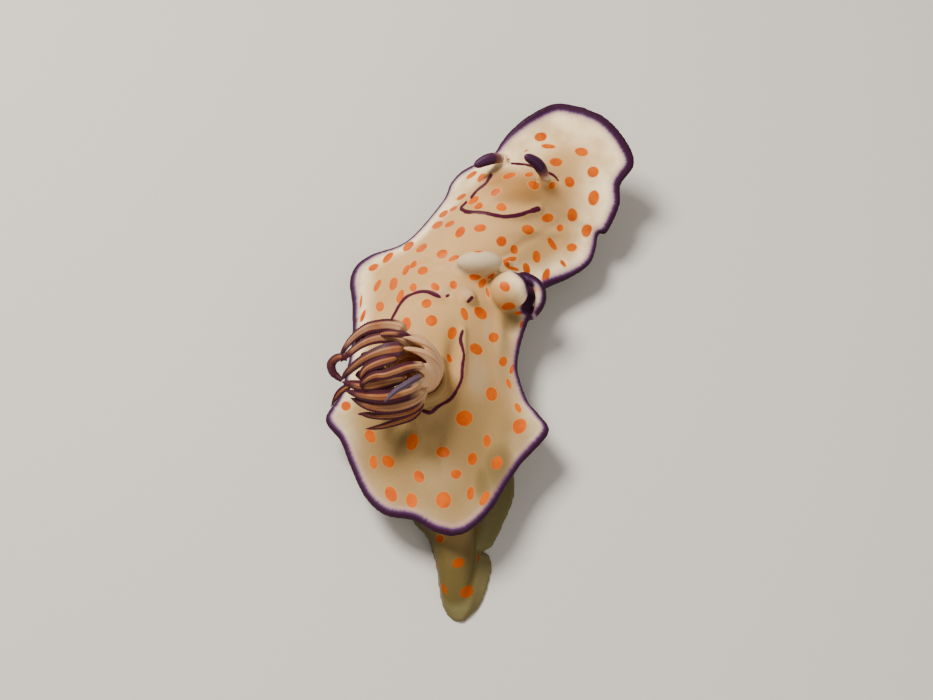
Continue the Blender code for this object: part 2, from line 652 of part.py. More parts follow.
def plume_leaf(turn, twist, reach, belly, tip, hook, width):
    """One gill leaf: a tapered blade folded along its keel, that bows out from the axis and closes to its tip."""
    t = np.array(LEAF_STATIONS)
    curl = smooth_step((t - 0.72) / 0.28)[:, None]
    centre, ahead, near, down = plume_frame(LEAF_START + (reach - LEAF_START) * t)
    angle = np.radians(turn + twist * t ** 2)[:, None]
    shoulder = 0.5 * (LEAF_ROOT + belly) + 0.35
    out = smooth_through((0, 0.25, 0.52, 0.8, 1), (LEAF_ROOT, shoulder, belly, 0.62 * belly + 0.35 * tip, tip), t)
    way = np.cos(angle) * near + np.sin(angle) * down
    keel = centre + out * way - hook * curl * (0.8 * ahead + 0.6 * way)
    run = np.gradient(keel, axis=0)
    run /= np.linalg.norm(run, axis=1)[:, None]
    way -= (way * run).sum(axis=1)[:, None] * run
    way /= np.linalg.norm(way, axis=1)[:, None]
    side = np.cross(run, way)
    end = np.sqrt(np.clip(1 - ((t - 0.45) / 0.56).clip(0, 1) ** 3, 0.02, 1))
    half = width * (0.3 + 0.7 * smooth_step(t / 0.4)) * end
    thick = 0.5 * np.minimum(LEAF_THICK, 1.2 * half)
    plan = half * math.cos(LEAF_FOLD)
    fall = half * math.sin(LEAF_FOLD)
    rings = [
        keel + (out_by * plan)[:, None] * side + (face * thick - fallen * fall)[:, None] * way
        for out_by, fallen, face in LEAF_SECTION
    ]
    return loft("leaf", np.stack(rings, axis=1) * MM, keep_helper=True)


def make_plume(below):
    """Cup and leaves of the gills, fused into one body, and the rim of the pocket they rise from."""
    share = np.linspace(0, CUP_END, 12)
    radii = smooth_through(np.linspace(0, CUP_END, len(CUP_RADII)), CUP_RADII, share)[:, 0]
    plume = loft("gill_plume", tube_rings(plume_frame(share)[0], radii, 20) * MM)
    join(plume, [plume_leaf(*leaf) for leaf in LEAVES])
    combine(plume, below, "DIFFERENCE")
    finish(plume, BROWN, 0.4)
    root = PLUME_AXIS[1]
    top = mantle_height(root) + POCKET_RISE
    stem = np.array([(root[0], root[1], top - 2.5), (root[0], root[1], top)])
    make_collar("gill_pocket", stem, CUP_RADII[0] + 1.5 * GAP, POCKET_WALL, below)


def join(thing, others):
    """One union of an object with others, all closed meshes; the others are then removed."""
    pieces = bpy.data.collections.new("pieces")
    bpy.context.scene.collection.children.link(pieces)
    for other in others:
        HELPERS.objects.unlink(other)
        pieces.objects.link(other)
    step = thing.modifiers.new("join", "BOOLEAN")
    step.operation = "UNION"
    step.solver = "MANIFOLD"
    step.operand_type = "COLLECTION"
    step.collection = pieces
    view = bpy.context.evaluated_depsgraph_get()
    view.update()
    result = bpy.data.meshes.new_from_object(thing.evaluated_get(view))
    thing.modifiers.clear()
    thing.data = result
    for other in others:
        remove(other)
    bpy.data.collections.remove(pieces)
    keep_largest(thing)


def oval(name, place, rise, half, keep_helper=False):
    """An oval whose middle is so far above the mantle at a place on it."""
    plan = bend(*place, 0.0) / MM
    centre = (plan[0], plan[1], mantle_height(plan) + rise)
    share = np.radians(np.linspace(-90, 90, 13))[:, None]
    turn = np.linspace(0, 2 * math.pi, 20, endpoint=False)[None, :]
    unit = (np.sin(share) + 0 * turn, np.cos(share) * np.cos(turn), np.cos(share) * np.sin(turn))
    rings = np.stack([centre[k] + half[k] * unit[k] for k in range(3)], axis=-1)
    return loft(name, rings * MM, keep_helper)


def make_pucker(below):
    """The knob with its curled margin, and the pale swelling, cut clear of the mantle they stand on."""
    across, along, up, radii = np.array(CURL).T
    curl = loft("curl", tube_rings(bend(across, along, up) / MM, radii, 12) * MM, keep_helper=True)
    bulges = (("mantle_fold", KNOB, [curl], CREAM), ("mantle_swelling", SWELLING, [], PALE))
    for name, ovals, others, colour in bulges:
        bulge = oval(name, *ovals[0])
        join(bulge, others + [oval("oval", *values, keep_helper=True) for values in ovals[1:]])
        combine(bulge, below, "DIFFERENCE")
        finish(bulge, colour, 0.45)


for old in list(bpy.data.objects):
    bpy.data.objects.remove(old, do_unlink=True)
PARTS = bpy.data.collections.new("sea_slug")
HELPERS = bpy.data.collections.new("helpers")
bpy.context.scene.collection.children.link(PARTS)
bpy.context.scene.collection.children.link(HELPERS)

clear_above = mantle_body("clear_above", 9.0, GAP, MANTLE_THICK, RIM_THICK, keep_helper=True)
clear_below = mantle_body("clear_below", GAP, 7.0, MANTLE_THICK, RIM_THICK, keep_helper=True)
make_mantle()
make_trunk(clear_above)
make_foot(clear_above)
make_tentacles(make_head(clear_above))
make_rhinophores(clear_below)
make_plume(clear_below)
make_pucker(clear_below)
remove(clear_above)
remove(clear_below)
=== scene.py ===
"""A nudibranch, crawling, at life size. Sizes are in millimetres until a mesh is made, in metres.

The body is first worked out straight, as across (right is positive), along (from the tip of the tail)
and up (from the ground), and then bent along the line of its back.
"""

import math

import bmesh
import bpy
import numpy as np
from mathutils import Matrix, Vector
from mathutils.bvhtree import BVHTree


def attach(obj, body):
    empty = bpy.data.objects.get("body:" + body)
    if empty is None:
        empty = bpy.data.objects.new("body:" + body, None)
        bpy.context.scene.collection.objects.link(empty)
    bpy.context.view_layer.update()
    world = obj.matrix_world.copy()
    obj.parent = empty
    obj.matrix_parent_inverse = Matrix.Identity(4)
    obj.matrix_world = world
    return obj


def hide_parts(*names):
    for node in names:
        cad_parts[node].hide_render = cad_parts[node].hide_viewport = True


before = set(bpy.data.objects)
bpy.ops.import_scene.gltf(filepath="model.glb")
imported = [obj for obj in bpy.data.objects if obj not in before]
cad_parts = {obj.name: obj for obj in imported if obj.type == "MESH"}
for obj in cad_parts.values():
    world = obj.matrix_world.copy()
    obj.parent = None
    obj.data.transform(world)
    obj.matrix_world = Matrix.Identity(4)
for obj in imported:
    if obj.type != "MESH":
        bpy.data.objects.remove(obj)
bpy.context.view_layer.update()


# The camera looks down on the animal from behind its tail, as a diver does who holds still above it.
# The spots further on are placed by the pixels of the photograph, through this camera.
MM = 0.001
PHOTO_WIDTH = 933
PHOTO_HEIGHT = 700
CAMERA_AIM = np.array((-2.3, -0.17, 6.0))
CAMERA_AWAY = 186.0
CAMERA_ELEVATION = math.radians(60)
CAMERA_LENS = 60.0
CAMERA_FILM = 36.0
CAMERA_NEAREST = 0.005
camera_back = np.array((0.0, -math.cos(CAMERA_ELEVATION), math.sin(CAMERA_ELEVATION)))
camera_up = np.array((0.0, math.sin(CAMERA_ELEVATION), math.cos(CAMERA_ELEVATION)))
camera_place = CAMERA_AIM + CAMERA_AWAY * camera_back


def photo_ray(x, y):
    """Direction from the camera through a pixel of the photograph."""
    pixels = CAMERA_LENS / CAMERA_FILM * PHOTO_WIDTH
    right = (x - PHOTO_WIDTH / 2) / pixels
    up = (PHOTO_HEIGHT / 2 - y) / pixels
    way = np.array((right, 0.0, 0.0)) + up * camera_up - camera_back
    return way / np.linalg.norm(way)


def at_height(x, y, up):
    """Place that a pixel of the photograph shows, if it lies that high above the ground."""
    ray = photo_ray(x, y)
    return camera_place + ray * (up - camera_place[2]) / ray[2]


camera_data = bpy.data.cameras.new("camera")
camera_data.lens = CAMERA_LENS
camera_data.sensor_width = CAMERA_FILM
camera_data.clip_start = CAMERA_NEAREST
camera = bpy.data.objects.new("camera", camera_data)
camera.location = camera_place * MM
camera.rotation_euler = (math.pi / 2 - CAMERA_ELEVATION, 0.0, 0.0)
bpy.context.scene.collection.objects.link(camera)
bpy.context.scene.camera = camera


# The mantle is the animal's thick, soft cloak of skin. It lies over the back, spreads into a wavy brim
# on all sides and lifts at the front like the peak of a hood. One smooth sheet, rounded at its margin.
MODEL_CENTRE = (2.3, 0.17)
BACK_LINE = (
    (-0.5, -32.0), (-1.2, -24.0), (-3.0, -16.0), (-4.4, -8.0), (-4.6, -1.0), (-2.6, 6.0),
    (0.8, 12.5), (4.2, 18.5), (7.6, 24.0), (11.3, 29.0), (15.0, 33.5),
)
RIBS = (  # along and up at the back, then across, along and up at the right and the left margin
    (15.0, 8.8, (-0.6, 7.8, 7.0), (-0.6, 7.8, 7.0)),
    (15.5, 8.9, (1.4, 8.1, 7.0), (-2.4, 8.7, 7.0)),
    (16.5, 9.1, (4.4, 10.0, 7.0), (-4.4, 10.8, 6.6)),
    (18.0, 9.5, (7.4, 13.2, 6.5), (-7.2, 12.6, 6.0)),
    (19.5, 9.9, (10.2, 16.0, 6.5), (-9.0, 15.6, 5.2)),
    (21.0, 10.4, (13.2, 18.6, 6.6), (-9.9, 19.4, 5.0)),
    (23.0, 11.0, (12.6, 21.8, 6.0), (-10.6, 22.4, 5.0)),
    (25.5, 11.6, (11.5, 25.2, 5.4), (-12.1, 24.9, 5.0)),
    (29.0, 12.0, (10.8, 30.0, 5.0), (-10.0, 28.0, 4.6)),
    (33.0, 11.8, (10.5, 34.0, 5.0), (-9.4, 32.0, 4.2)),
    (36.0, 11.3, (10.1, 38.0, 5.0), (-11.0, 36.0, 4.0)),
    (38.5, 11.0, (9.8, 41.8, 5.4), (-13.2, 39.6, 4.0)),
    (41.0, 11.0, (9.2, 45.0, 5.8), (-12.4, 42.0, 4.0)),
    (44.0, 11.0, (9.4, 47.8, 4.8), (-9.8, 44.8, 3.6)),
    (47.0, 11.0, (11.0, 51.0, 4.6), (-8.6, 48.0, 3.6)),
    (49.5, 11.2, (12.2, 54.0, 5.0), (-8.1, 52.6, 4.3)),
    (52.0, 11.5, (11.8, 56.5, 5.0), (-8.4, 54.9, 5.2)),
    (53.5, 11.6, (11.1, 58.8, 5.2), (-7.8, 56.5, 6.2)),
    (55.0, 11.6, (11.9, 59.8, 5.8), (-6.3, 57.6, 7.2)),
    (56.5, 11.4, (11.3, 63.8, 6.8), (-4.8, 59.1, 8.4)),
    (58.0, 11.1, (9.9, 66.2, 7.8), (-4.8, 60.6, 9.8)),
    (59.5, 10.8, (9.8, 69.2, 9.2), (-4.7, 62.6, 11.0)),
    (60.7, 10.4, (7.4, 70.6, 10.4), (-4.0, 65.4, 12.0)),
    (61.5, 10.2, (3.8, 71.1, 11.5), (-2.35, 68.6, 12.2)),
    (62.0, 10.0, (0.7, 70.4, 12.0), (0.7, 70.4, 12.0)),
)
BODY_ALONG = (8.0, 14.0, 22.0, 30.0, 40.0, 50.0, 57.0, 63.0)
BODY_HALF = (3.4, 4.6, 5.6, 6.4, 6.3, 6.0, 5.6, 4.4)
BRIM_ROOT = (6.4, 6.4, 6.2, 6.0, 5.8, 6.2, 7.4, 9.0)
BACK_STEPS = 800
HUMP_FALL = 0.7
HUMP_POWER = 2.4
MANTLE_THICK = 1.6
RIM_THICK = 0.9
RIM_DRAWN = 0.12  # how far the fusing of the skin, further on, draws the rim in
THIN_FROM = 0.3
THIN_OVER = 0.6
MANTLE_ROWS = 289
MANTLE_COLUMNS = 121
RIM_COLUMNS = 7


def smooth_through(knots, values, at):
    """Cubic curve through the values at the knots, with slopes from the neighbours, read at 'at'."""
    knots = np.asarray(knots, float)
    values = np.asarray(values, float).reshape(len(knots), -1)
    at = np.atleast_1d(np.asarray(at, float))
    step = np.diff(knots)[:, None]
    rise = np.diff(values, axis=0) / step
    slope = np.empty_like(values)
    slope[1:-1] = (rise[:-1] * step[1:] + rise[1:] * step[:-1]) / (step[:-1] + step[1:])
    slope[0] = rise[0]
    slope[-1] = rise[-1]
    i = np.clip(np.searchsorted(knots, at, side="right") - 1, 0, len(knots) - 2)
    h = step[i]
    t = (at[:, None] - knots[i][:, None]) / h
    start = (1 + 2 * t) * (1 - t) ** 2 * values[i] + t * (1 - t) ** 2 * h * slope[i]
    end = t * t * (3 - 2 * t) * values[i + 1] + t * t * (t - 1) * h * slope[i + 1]
    return start + end


def smooth_step(t):
    """0 to 1 with level ends: 3t² - 2t³."""
    t = np.clip(t, 0.0, 1.0)
    return t * t * (3 - 2 * t)


def unit(vectors):
    """Each vector divided by its length."""
    return vectors / np.linalg.norm(vectors, axis=-1, keepdims=True)


def run_along(points):
    """Distance from the first point of a line to each of its points, by the straight steps between them."""
    return np.concatenate([[0.0], np.cumsum(np.linalg.norm(np.diff(points, axis=0), axis=1))])


def even_curve(points, count):
    """The smooth curve through a line of points, at evenly spaced places along it.

    Each point may have more numbers after its place, which the curve carries along.
    """
    points = np.array(points, float)
    chord = run_along(points[:, :3])
    return smooth_through(chord, points, np.linspace(0.0, chord[-1], count))


def back_table():
    """The back line as distances along it, plan points and directions."""
    plan = even_curve(BACK_LINE, BACK_STEPS)
    along = run_along(plan)
    return along, plan, unit(np.gradient(plan, along, axis=0))


back_along, back_plan, back_heading = back_table()


def bend(across, along, up):
    """Body coordinates to places: a step sideways from the point that far along the back line."""
    across, along, up = np.broadcast_arrays(*(np.asarray(v, float) for v in (across, along, up)))
    held = np.clip(along, back_along[0], back_along[-1])
    point = [np.interp(held, back_along, back_plan[:, k]) for k in (0, 1)]
    ahead = [np.interp(held, back_along, back_heading[:, k]) for k in (0, 1)]
    x = point[0] + ahead[0] * (along - held) + ahead[1] * across - MODEL_CENTRE[0]
    y = point[1] + ahead[1] * (along - held) - ahead[0] * across - MODEL_CENTRE[1]
    return np.stack([x, y, up], axis=-1)


rib_table = np.array([(along, up, *right, *left) for along, up, right, left in RIBS])


def mantle_top(rib, reach):
    """Upper surface of the mantle, in body coordinates.

    rib runs from the rear to the hood and reach from -1 at the left margin to 1 at the right one.
    The place is on the straight line from the back to the margin. The height is that of the brim, which
    swings from the flank's height to the margin's, plus the hump of the back, a falling exponential.
    """
    rib, reach = np.broadcast_arrays(np.asarray(rib, float), np.asarray(reach, float))
    read = smooth_through(np.arange(len(RIBS)), rib_table, rib.ravel()).reshape(*rib.shape, -1)
    margin = np.where(reach[..., None] > 0, read[..., 2:5], read[..., 5:8])
    rho = np.abs(reach)
    ahead = margin[..., 1] - read[..., 0]
    root = smooth_through(BODY_ALONG, BRIM_ROOT, read[..., 0].ravel())[:, 0].reshape(rib.shape)
    half = smooth_through(BODY_ALONG, BODY_HALF, read[..., 0].ravel())[:, 0].reshape(rib.shape)
    brim = root + (margin[..., 2] - root) * smooth_step(rho)
    hump = np.exp(-HUMP_FALL * (rho * np.hypot(margin[..., 0], ahead) / half) ** HUMP_POWER)
    up = brim + (read[..., 1] - brim) * hump
    return rho * margin[..., 0], read[..., 0] + rho * ahead, up


def grid_mesh(name, grid, capped=True):
    """Mesh object from rows of places in millimetres: each row is a ring, and the end rings may be capped."""
    count, wide = grid.shape[:2]
    index = np.arange(count * wide).reshape(count, wide)
    index = np.concatenate([index, index[:, :1]], axis=1)
    corners = (index[:-1, :-1], index[:-1, 1:], index[1:, 1:], index[1:, :-1])
    points = grid.reshape(-1, 3)
    faces = np.stack(corners, axis=-1).reshape(-1, 4).tolist()
    if capped:
        points = np.concatenate([points, grid[0].mean(axis=0)[None], grid[-1].mean(axis=0)[None]])
        faces += [(count * wide, b, a) for a, b in zip(index[0, :-1], index[0, 1:])]
        faces += [(count * wide + 1, a, b) for a, b in zip(index[-1, :-1], index[-1, 1:])]
    mesh = bpy.data.meshes.new(name)
    mesh.from_pydata((points * MM).tolist(), [], faces)
    work = bmesh.new()
    work.from_mesh(mesh)
    bmesh.ops.remove_doubles(work, verts=work.verts, dist=1e-7)
    bmesh.ops.recalc_face_normals(work, faces=work.faces)
    work.to_mesh(mesh)
    work.free()
    piece = bpy.data.objects.new(name, mesh)
    bpy.context.scene.collection.objects.link(piece)
    return piece


def mantle_grid():
    """Loops round the mantle at each rib: the top, the rounded right rim, the underside and the left rim."""
    ribs = np.linspace(0, len(RIBS) - 1, MANTLE_ROWS)[:, None]
    share = np.linspace(-1, 1, MANTLE_COLUMNS)[None, :]
    turn = np.linspace(math.pi / 2, -math.pi / 2, RIM_COLUMNS)[None, 1:-1]
    radius = RIM_THICK / 2
    rims, widths = [], []
    for side in (1.0, -1.0):
        across, along, up = mantle_top(ribs, side)
        middle = mantle_top(ribs, 0.0)
        out = np.stack([across - middle[0], along - middle[1]], axis=-1)
        widths.append(np.linalg.norm(out, axis=-1))
        out = unit(out)
        centre = np.stack([across, along], axis=-1) - (radius - RIM_DRAWN) * out
        ring = centre + radius * np.cos(turn)[..., None] * out
        rims.append(bend(ring[..., 0], ring[..., 1], up - radius + radius * np.sin(turn)))
    reach = share * (1 - (radius - RIM_DRAWN) / np.where(share > 0, *widths))
    across, along, up = mantle_top(ribs, reach)
    thin = smooth_step((np.abs(share) - THIN_FROM) / THIN_OVER)
    thick = RIM_THICK + (MANTLE_THICK - RIM_THICK) * (1 - thin)
    top = bend(across, along, up)
    under = bend(across, along, up - thick)
    return np.concatenate([top, rims[0], under[:, ::-1], rims[1][:, ::-1]], axis=1)


flesh = [grid_mesh("mantle", mantle_grid(), capped=False)]


# The body under the mantle: flanks that stand on a narrow foot, a flat sole with thin edges, and a tail that
# runs out behind to a blunt point. All of it is the same soft muscle, without a joint or a seam.
TRUNK_ALONG = (0.3, 1.0, 2.0, 5.0, 9.0, 14.0, 18.0, 22.0, 30.0, 40.0, 50.0, 57.0, 61.0, 63.5)
TRUNK_HALF = (0.5, 1.0, 1.5, 2.15, 2.85, 4.2, 4.8, 5.3, 6.0, 5.9, 5.5, 4.4, 3.8, 2.6)
TRUNK_TOP = (0.35, 0.85, 1.6, 3.0, 4.3, 6.3, 8.2, 9.6, 11.0, 10.0, 10.2, 10.2, 9.2, 8.0)
TRUNK_SHIFT = (-0.5, -0.55, -0.55, -0.35, -0.05, 0.0, 0.0, 0.0, 0.0, 0.0, 0.0, 0.0, 0.0, 0.0)
TRUNK_LOW = 0.4
TRUNK_LEAN = 0.16
TRUNK_SOLE = 0.8
TRUNK_SHAPE = (180, 41)
FOOT_ALONG = (
    0.0, 0.1, 0.35, 0.9, 1.8, 3.3, 4.9, 6.4, 7.4, 8.3, 8.9, 9.8, 10.7, 11.8, 13.1, 14.9, 17.2, 20.0, 30.0,
    40.0, 50.0, 58.0, 62.0, 64.5, 65.6)
FOOT_LEFT = (
    -0.45, -0.75, -1.05, -1.55, -2.0, -2.3, -2.4, -2.45, -2.5, -2.6, -2.65, -2.7, -2.8, -3.2, -3.9, -4.5,
    -5.1, -5.8, -7.0, -7.2, -6.8, -5.8, -4.6, -3.0, -0.3)
FOOT_RIGHT = (
    0.1, 0.3, 0.6, 1.4, 2.15, 2.9, 3.5, 3.95, 3.9, 4.25, 4.7, 5.5, 6.2, 7.1, 8.0, 8.7, 9.0, 8.8, 7.6, 7.2,
    6.8, 6.2, 5.2, 3.0, 0.3)
FOOT_STATIONS = ((0.0, 1.0, 25), (1.1, 12.0, 100), (12.3, 62.0, 150), (62.2, 65.6, 20))  # from, to, count
FOOT_THICK = 1.5
FOOT_EDGE = 0.6
FOOT_NARROW = 5.0
FOOT_COLUMNS = 49
NOTCH_ALONG = 8.0
NOTCH_DEPTH = 1.25
NOTCH_HALF = 0.26


def width_shares(count):
    """Shares from -1 to 1 across a part, closer together at its edges: a sine of even steps."""
    return np.sin(np.linspace(-math.pi / 2, math.pi / 2, count))[None, :]


def trunk_grid():
    """Rings along the body, whose top falls to the sides as the mantle's hump does and whose sides lean in.

    The rings are rounded by the fourth root of one less the fourth power of the share across.
    """
    stations = np.linspace(TRUNK_ALONG[0], TRUNK_ALONG[-1], TRUNK_SHAPE[0])[:, None]
    table = np.transpose((TRUNK_HALF, TRUNK_TOP, TRUNK_SHIFT))
    half, top, shift = np.split(smooth_through(TRUNK_ALONG, table, stations[:, 0]), 3, axis=1)
    side = width_shares(TRUNK_SHAPE[1])
    fall = np.exp(-0.5 * (np.abs(side) * half / (half + 0.6)) ** HUMP_POWER)
    up = TRUNK_LOW + (top * fall - TRUNK_LOW) * (1 - np.abs(side) ** 4) ** 0.25
    lean = 1 - TRUNK_LEAN * (1 - (up - TRUNK_LOW) / (top - TRUNK_LOW + 0.01))
    roof = bend(shift + side * half * lean, stations, up)
    floor = bend(shift + side[:, ::-1] * half * TRUNK_SOLE, stations, np.full_like(up, TRUNK_LOW))
    return np.concatenate([roof, floor[:, 1:-1]], axis=1)


def foot_grid():
    """Rings along the foot: a level sole, and a top that thins to its edges, which are rounded.

    A bell curve cuts a notch into the right edge of the tail, between two lobes.
    """
    stations = np.concatenate([np.linspace(*part) for part in FOOT_STATIONS])
    left = smooth_through(FOOT_ALONG, FOOT_LEFT, stations)
    right = smooth_through(FOOT_ALONG, FOOT_RIGHT, stations)
    right -= NOTCH_DEPTH * np.exp(-((stations[:, None] - NOTCH_ALONG) / NOTCH_HALF) ** 2)
    share = width_shares(FOOT_COLUMNS)
    across = np.where(share < 0, -share * left, share * right)
    narrow = np.minimum(1.0, (right - left) / FOOT_NARROW)
    edge = FOOT_EDGE * narrow
    middle = FOOT_EDGE / 2 + (FOOT_THICK - FOOT_EDGE / 2) * narrow
    thick = edge + (middle - edge) * (1 - smooth_step((np.abs(share) - 0.45) / 0.5))
    thick = thick * (0.35 + 0.65 * np.sqrt(np.clip(1 - np.abs(share) ** 12, 0, 1)))
    top = bend(across, stations[:, None], thick)
    sole = bend(across[:, ::-1], stations[:, None], np.zeros_like(thick))
    return np.concatenate([top, sole[:, 1:-1]], axis=1)


flesh.append(grid_mesh("trunk", trunk_grid()))
flesh.append(grid_mesh("foot", foot_grid()))


# The head is a small snout that stays under the hood, with the mouth low at its front between two lips, and a
# short cone of a feeler on each side of it.
HEAD_CENTRE = (0.6, 61.9, 5.6)
HEAD_HALF = (3.8, 3.4, 3.2)
HEAD_LOWEST = 0.9
HEAD_SHAPE = (81, 160)
MOUTH_TILT = math.radians(-27)
MOUTH_DROOP = math.radians(12)
MOUTH_HALF = 1.4
MOUTH_DEEP = 0.6
MOUTH_GAP = 0.24
LIP_HIGH = 0.3
LIP_OUT = 0.72
LIP_SOFT = 0.34
MOUTH_CLEAR = 2.2
MOUTH_POINTS = 60
TENTACLE_ROOT = (2.6, 63.0, 4.4)
TENTACLE_TIP = (4.0, 65.8, 2.8)
TENTACLE_RADIUS = 0.75
TENTACLE_BLUNT = (0.95, 1.8)
TENTACLE_SHAPE = (24, 24)


def head_place(side, turn):
    """A place on the oval of the head: side turns to the right of straight ahead, turn lifts from level."""
    across = HEAD_CENTRE[0] + HEAD_HALF[0] * np.sin(side) + 0 * turn
    ahead = HEAD_CENTRE[1] + HEAD_HALF[1] * np.cos(side) * np.cos(turn)
    up = HEAD_CENTRE[2] + HEAD_HALF[2] * np.cos(side) * np.sin(turn)
    return bend(across, ahead, np.maximum(up, HEAD_LOWEST))


def mouth_line():
    """The line between the lips, level in the middle and drooping at its corners by a square law."""
    share = np.linspace(-1, 1, MOUTH_POINTS)
    corner = math.asin(MOUTH_HALF / HEAD_HALF[0])
    return head_place(share * corner, MOUTH_TILT - MOUTH_DROOP * share ** 2)


def mouth_rise(gap):
    """How far the skin rises near the mouth's line: a bell curve for the lips, less one for the slit."""
    lips = LIP_HIGH * np.exp(-((gap - LIP_OUT) / LIP_SOFT) ** 2)
    return lips - MOUTH_DEEP * np.exp(-(gap / MOUTH_GAP) ** 2)


def tube_grid(path, radii, sides):
    """Rings round a path of places: a circle of each radius, square to the path."""
    ahead = unit(np.gradient(path, axis=0))
    level = (0.0, 0.0, 1.0) if abs(ahead[0, 2]) < 0.9 else (0.0, 1.0, 0.0)
    side = unit(np.cross(level, ahead))
    lift = np.cross(ahead, side)
    turn = np.linspace(0, 2 * math.pi, sides, endpoint=False)[None, :, None]
    circle = np.cos(turn) * side[:, None] + np.sin(turn) * lift[:, None]
    return path[:, None] + np.asarray(radii)[:, None, None] * circle


sides = np.radians(np.linspace(-90, 90, HEAD_SHAPE[0]))[:, None]
turns = np.radians(np.linspace(-180, 180, HEAD_SHAPE[1], endpoint=False))[None, :]
flesh.append(grid_mesh("head", head_place(sides, turns)))
share = np.linspace(0, 1, TENTACLE_SHAPE[0])
tentacle_radii = TENTACLE_RADIUS * np.sqrt(1 - TENTACLE_BLUNT[0] * share ** TENTACLE_BLUNT[1])
feelers = []
for sign in (1, -1):
    line = np.array(TENTACLE_ROOT) + share[:, None] * (np.array(TENTACLE_TIP) - TENTACLE_ROOT)
    feelers.append(bend(HEAD_CENTRE[0] + sign * line[:, 0], line[:, 1], line[:, 2]))
    flesh.append(grid_mesh("feeler", tube_grid(feelers[-1], tentacle_radii, TENTACLE_SHAPE[1])))


# In the middle of the right side the mantle is puckered: a smooth pale swelling lies across the back, and
# beside it the edge of the brim is drawn up into a round knob, with its margin curled over.
SKY = 100.0  # a height above the whole animal
OVAL_SHAPE = (49, 64)
mantle_tree = BVHTree.FromObject(flesh[0], bpy.context.evaluated_depsgraph_get())


def mantle_over(place):
    """Height of the mantle's top over a place in the model."""
    above = Vector((place[0] * MM, place[1] * MM, SKY * MM))
    return mantle_tree.ray_cast(above, Vector((0, 0, -1)))[0].z / MM


def mantle_height(across, along):
    """Height of the mantle's top over a place on the straight body."""
    return mantle_over(bend(across, along, 0.0))


def oval_grid(centre, half, tilt):
    """An oval of three half-sizes, turned about the upright by so many degrees."""
    side = np.radians(np.linspace(-90, 90, OVAL_SHAPE[0]))[:, None]
    turn = np.linspace(0, 2 * math.pi, OVAL_SHAPE[1], endpoint=False)[None, :]
    x = half[0] * np.sin(side) + 0 * turn
    y = half[1] * np.cos(side) * np.cos(turn)
    z = half[2] * np.cos(side) * np.sin(turn)
    c, s = math.cos(math.radians(tilt)), math.sin(math.radians(tilt))
    return centre + np.stack([c * x - s * y, s * x + c * y, z], axis=-1)


BULGES = (  # across and along, height above the mantle, half-sizes to the side, ahead and up, turn in degrees
    ((6.6, 42.9), 1.2, (2.4, 2.3, 2.4), 0),
    ((2.45, 43.1), 1.0, (2.75, 1.4, 1.7), 3),
    ((2.55, 42.6), 0.4, (1.9, 1.0, 1.2), 0),
    ((5.2, 42.2), 0.2, (0.9, 1.2, 1.2), 0),
    ((3.0, 38.4), 0.0, (1.05, 1.0, 0.9), 0),
)
CURL_PATH = (  # pixel of the photograph, height and radius of the curled margin beside the knob
    (519, 275, 9.6, 0.35), (525, 276, 9.4, 0.5), (532, 280, 9.0, 0.62), (538, 286, 8.4, 0.7),
    (541, 295, 7.6, 0.7), (540, 304, 6.9, 0.62), (536, 312, 6.2, 0.5), (531, 319, 5.6, 0.35),
)
CURL_SHAPE = (40, 20)
for (across, along), rise, half, tilt in BULGES:
    centre = bend(across, along, mantle_height(across, along) + rise)
    flesh.append(grid_mesh("bulge", oval_grid(centre, half, tilt)))
curl_table = np.array([(*at_height(x, y, up), radius) for x, y, up, radius in CURL_PATH])
steps = np.arange(len(CURL_PATH))
curl_table = smooth_through(steps, curl_table, np.linspace(0, steps[-1], CURL_SHAPE[0]))
flesh.append(grid_mesh("curl", tube_grid(curl_table[:, :3], curl_table[:, 3], CURL_SHAPE[1])))


# The roots of the feelers on the back: the mantle rises a little round each rhinophore, and in a thicker ring
# round the stalk of the gills, so that they can be drawn in.
RHINOPHORES = {  # across and along of the root, and the lean of the club to the side, ahead and up
    "right": ((3.0, 58.2), (-2.4, 0.35, 4.9)),
    "left": ((-2.9, 58.0), (-3.4, -2.4, 2.2)),
}
RHINOPHORE_DEEP = 0.25
RHINOPHORE_BOW = 0.55
SHEATH_LINE = 40
SHEATH_POINTS = slice(6, 11)  # of those along a rhinophore's line
SHEATH_RADII = (0.95, 0.875, 0.8, 0.73, 0.66)
SHEATH_SIDES = 28
PLUME_AXIS = (
    (-7.5, -7.07, 9.5), (-7.5, -7.07, 11.6), (-7.8, -7.27, 13.8), (-9.4, -7.77, 15.7),
    (-12.5, -8.57, 16.4), (-17.3, -9.57, 16.6),
)
PLUME_KNOTS = (0.0, 0.13, 0.26, 0.42, 0.62, 1.0)
POCKET_RADIUS = 2.9
POCKET_WALL = 0.62
POCKET_SHAPE = (60, 16)


def rhinophore_line(side, count):
    """The line of a rhinophore from below the skin to its tip, bowed up by a half-wave, and its shares."""
    (across, along), lean = RHINOPHORES[side]
    lean = np.array(lean)
    share = np.linspace(0, 1, count)
    base = bend(across, along, mantle_height(across, along)) - RHINOPHORE_DEEP * lean
    line = base + (1 + RHINOPHORE_DEEP) * share[:, None] * lean
    line[:, 2] += RHINOPHORE_BOW * np.sin(math.pi * share)
    return line, share


